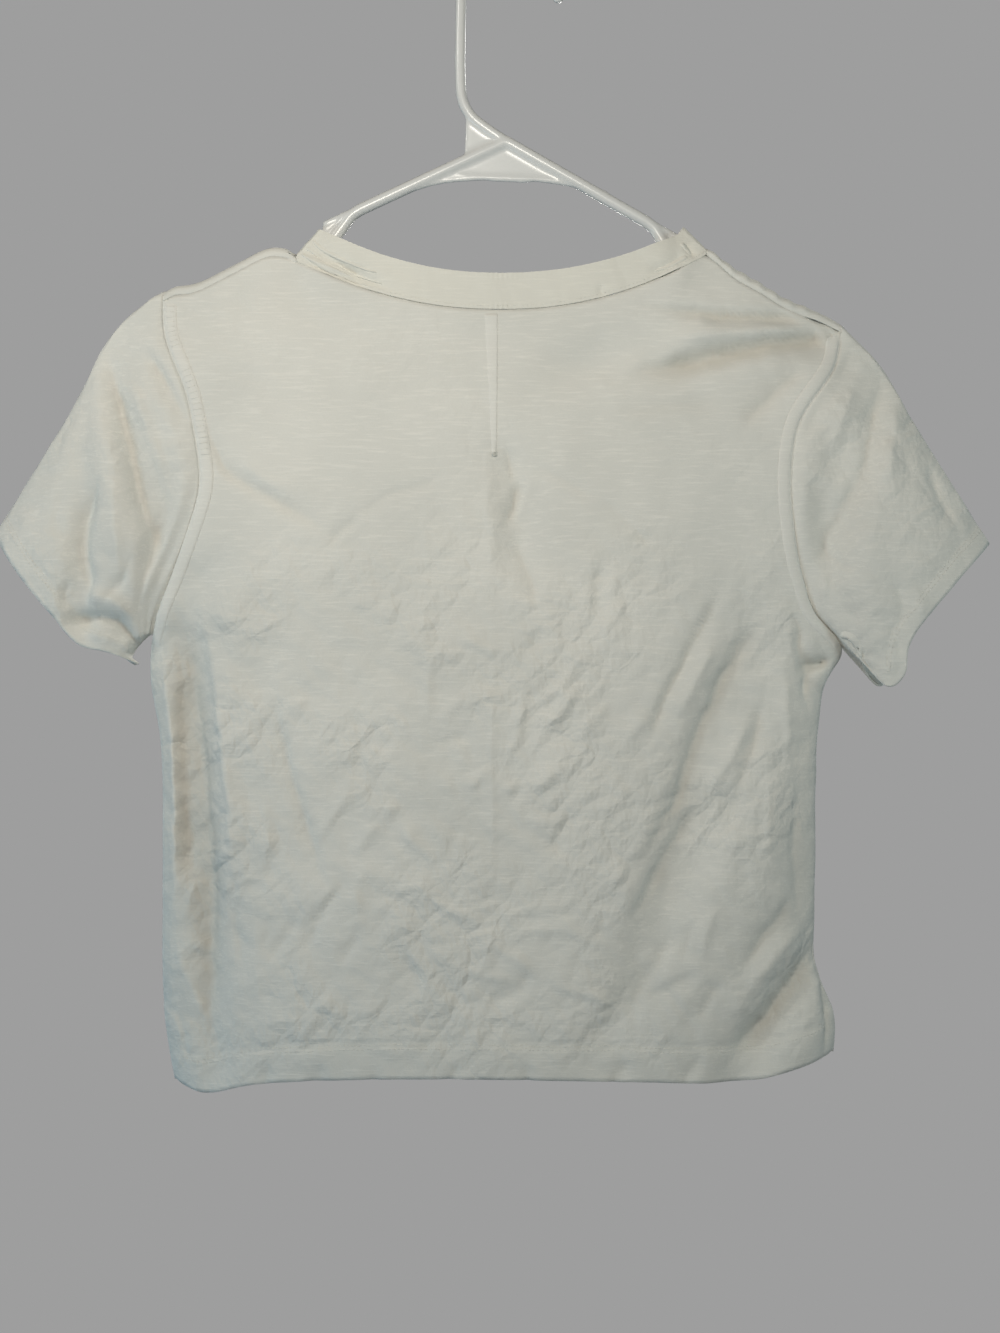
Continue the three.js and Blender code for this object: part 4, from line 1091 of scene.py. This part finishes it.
seam_edge = max(open_chains(band_skin, lambda x, z: True), key=lambda chain: np.ptp(chain[:, 0]))
stitched = {key: [] for key in TURNED_UP}
stitched["neck"] = row_beside(band_tree, seam_edge, 2.0, 2.6, 1.9, 0.3)
for key, (_, on_edge, _, insets) in TURNED_UP.items():
    chain = open_chains(cloths[key], on_edge)[0]
    for inset in insets:
        stitched[key] += row_beside(trees[key], chain, inset, 2.7, 2.0, 0.34)
for key in bands:
    rows = beside(trees[key], armhole_edge(cloths[key], -1), 3.5 * mm, (2.0, 5.0))
    for point, normal, way in (row[-1] for row in rows[2:-3]):
        if -250 < point.z / mm or -318 < point.z / mm < -264:
            stitched[key].append((point + normal * 0.72 * mm, normal.cross(way), normal, 5.6, 0.42))
for z in (-314.6, -315.4, -316.2, -317):
    point, normal = seen_from_behind(trees["back"], -10 * mm, z * mm)
    stitched["back"].append((point + normal * 0.9 * mm, Vector((1, 0, 0.2)), normal, 4.6, 0.5))
stitch_pieces = {key: sewn_rows("stitches_" + key, spots) for key, spots in stitched.items()}

# ---------------------------------------------------------------- hanger
# A tubular hanger of white plastic, moulded in one: the hook's shaft runs into one arm, the other
# arm meets it, and a thin web with a rounded lower rib fills the corner between them.

whole = opened(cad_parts["hanger"].data)
RIB_STOPS = [(-62, -150), (-44, -145), (-24, -143), (-6, -142.5), (16, -143.5), (40, -147), (60, -152)]
RIB_RADIUS = 1.7 * mm
rib_way = curve_through(RIB_STOPS, 3)
rib_turns = []
for k, (x, z) in enumerate(rib_way):
    way = rib_way[min(k + 1, len(rib_way) - 1)] - rib_way[max(k - 1, 0)]
    turn = Vector((way[0], 0, way[1])).to_track_quat("Z", "Y").to_matrix().to_4x4()
    rib_turns.append(Matrix.Translation((x * mm, 0, z * mm)) @ turn)
rings = []
for turn in rib_turns:
    ring = bmesh.ops.create_circle(whole, cap_ends=False, segments=16, radius=RIB_RADIUS,
                                   matrix=turn)["verts"]
    rings.append({e for v in ring for e in v.link_edges})
for one, other in zip(rings, rings[1:]):
    bmesh.ops.bridge_loops(whole, edges=list(one | other))
bmesh.ops.holes_fill(whole, edges=list(rings[0] | rings[-1]), sides=0)
hanger = made("hanger", whole)
weld = hanger.modifiers.new("weld", "WELD")
weld.merge_threshold = 0.01 * mm
cast = hanger.modifiers.new("cast", "REMESH")
cast.mode, cast.voxel_size = "VOXEL", 0.8 * mm
soften = hanger.modifiers.new("soften", "SMOOTH")
soften.factor, soften.iterations = 0.5, 22
settle(hanger)
hanger.data.shade_smooth()
plastic, wire, shader = finish_named("white_plastic")
shader.inputs["Base Color"].default_value = (0.71, 0.715, 0.70, 1)
shader.inputs["Roughness"].default_value = 0.24
dress(hanger, plastic, "hanger", "hanger")

# ---------------------------------------------------------------- studio
# A plain pale floor, a grey wall that only the camera sees, lamps behind and before the shirt, and
# a camera at the height of its middle that looks at the back.

floor_shape = bmesh.new()
bmesh.ops.create_grid(floor_shape, x_segments=1, y_segments=1, size=1.4)
bmesh.ops.translate(floor_shape, verts=floor_shape.verts, vec=(0, -0.6, -1.25))
floor = made("studio_floor", floor_shape)
floor_finish, wire, shader = finish_named("floor_paint")
shader.inputs["Base Color"].default_value = (0.7, 0.7, 0.7, 1)
floor.data.materials.append(floor_finish)

world = bpy.data.worlds.new("studio")
bpy.context.scene.world = world
world.use_nodes = True
nodes, links = world.node_tree.nodes, world.node_tree.links
nodes["Background"].inputs["Color"].default_value = (0.030, 0.034, 0.036, 1)
wall = nodes.new("ShaderNodeBackground")
wall.inputs["Color"].default_value = (0.342, 0.342, 0.342, 1)
seen = nodes.new("ShaderNodeMixShader")
links.new(nodes.new("ShaderNodeLightPath").outputs["Is Camera Ray"], seen.inputs["Fac"])
links.new(nodes["Background"].outputs[0], seen.inputs[1])
links.new(wall.outputs[0], seen.inputs[2])
links.new(seen.outputs[0], nodes["World Output"].inputs["Surface"])


def lamp(name, place_at, aim_at, width, watts, colour):
    light = bpy.data.lights.new(name, "AREA")
    light.shape, light.size, light.energy, light.color = "DISK", width, watts, colour
    item = bpy.data.objects.new(name, light)
    item.location = place_at
    item.rotation_euler = (Vector(aim_at) - Vector(place_at)).to_track_quat("-Z", "Y").to_euler()
    bpy.context.scene.collection.objects.link(item)


lamp("key", (-0.12, -0.68, -0.08), (0, 0, -0.38), 0.2, 2.78, (1.0, 0.94, 0.845))
lamp("rake", (-0.60, -0.42, 0.20), (0, 0, -0.38), 0.12, 1.3, (1.0, 0.98, 0.92))
lamp("cool_side", (-0.9, -0.45, -0.8), (0, 0, -0.38), 0.4, 2.0, (0.52, 0.80, 1.0))
lamp("front_key", (0.14, 0.74, -0.06), (0, 0, -0.40), 0.25, 2.9, (1.0, 0.96, 0.90))
lamp("front_rake", (0.62, 0.46, 0.16), (0, 0, -0.40), 0.15, 1.6, (1.0, 0.98, 0.94))
lamp("front_side", (-0.70, 0.60, -0.60), (0, 0, -0.45), 0.4, 1.4, (0.80, 0.93, 1.0))
lamp("floor_wash", (0, -0.3, -0.90), (0, -0.3, -1.25), 1.6, 0.7, (1.0, 1.0, 1.0))
lamp("soft_side", (0.9, -0.5, -0.45), (0, 0, -0.38), 0.4, 1.8, (0.81, 0.97, 1.0))

camera = bpy.data.cameras.new("camera")
camera.lens, camera.sensor_width = 47.9, 36
camera_item = bpy.data.objects.new("camera", camera)
camera_item.location = (-6.2 * mm, -1.1, -445.5 * mm)
camera_item.rotation_euler = (math.pi / 2, 0, 0)
bpy.context.scene.collection.objects.link(camera_item)
bpy.context.scene.camera = camera_item
bpy.context.scene.view_settings.view_transform = "Standard"
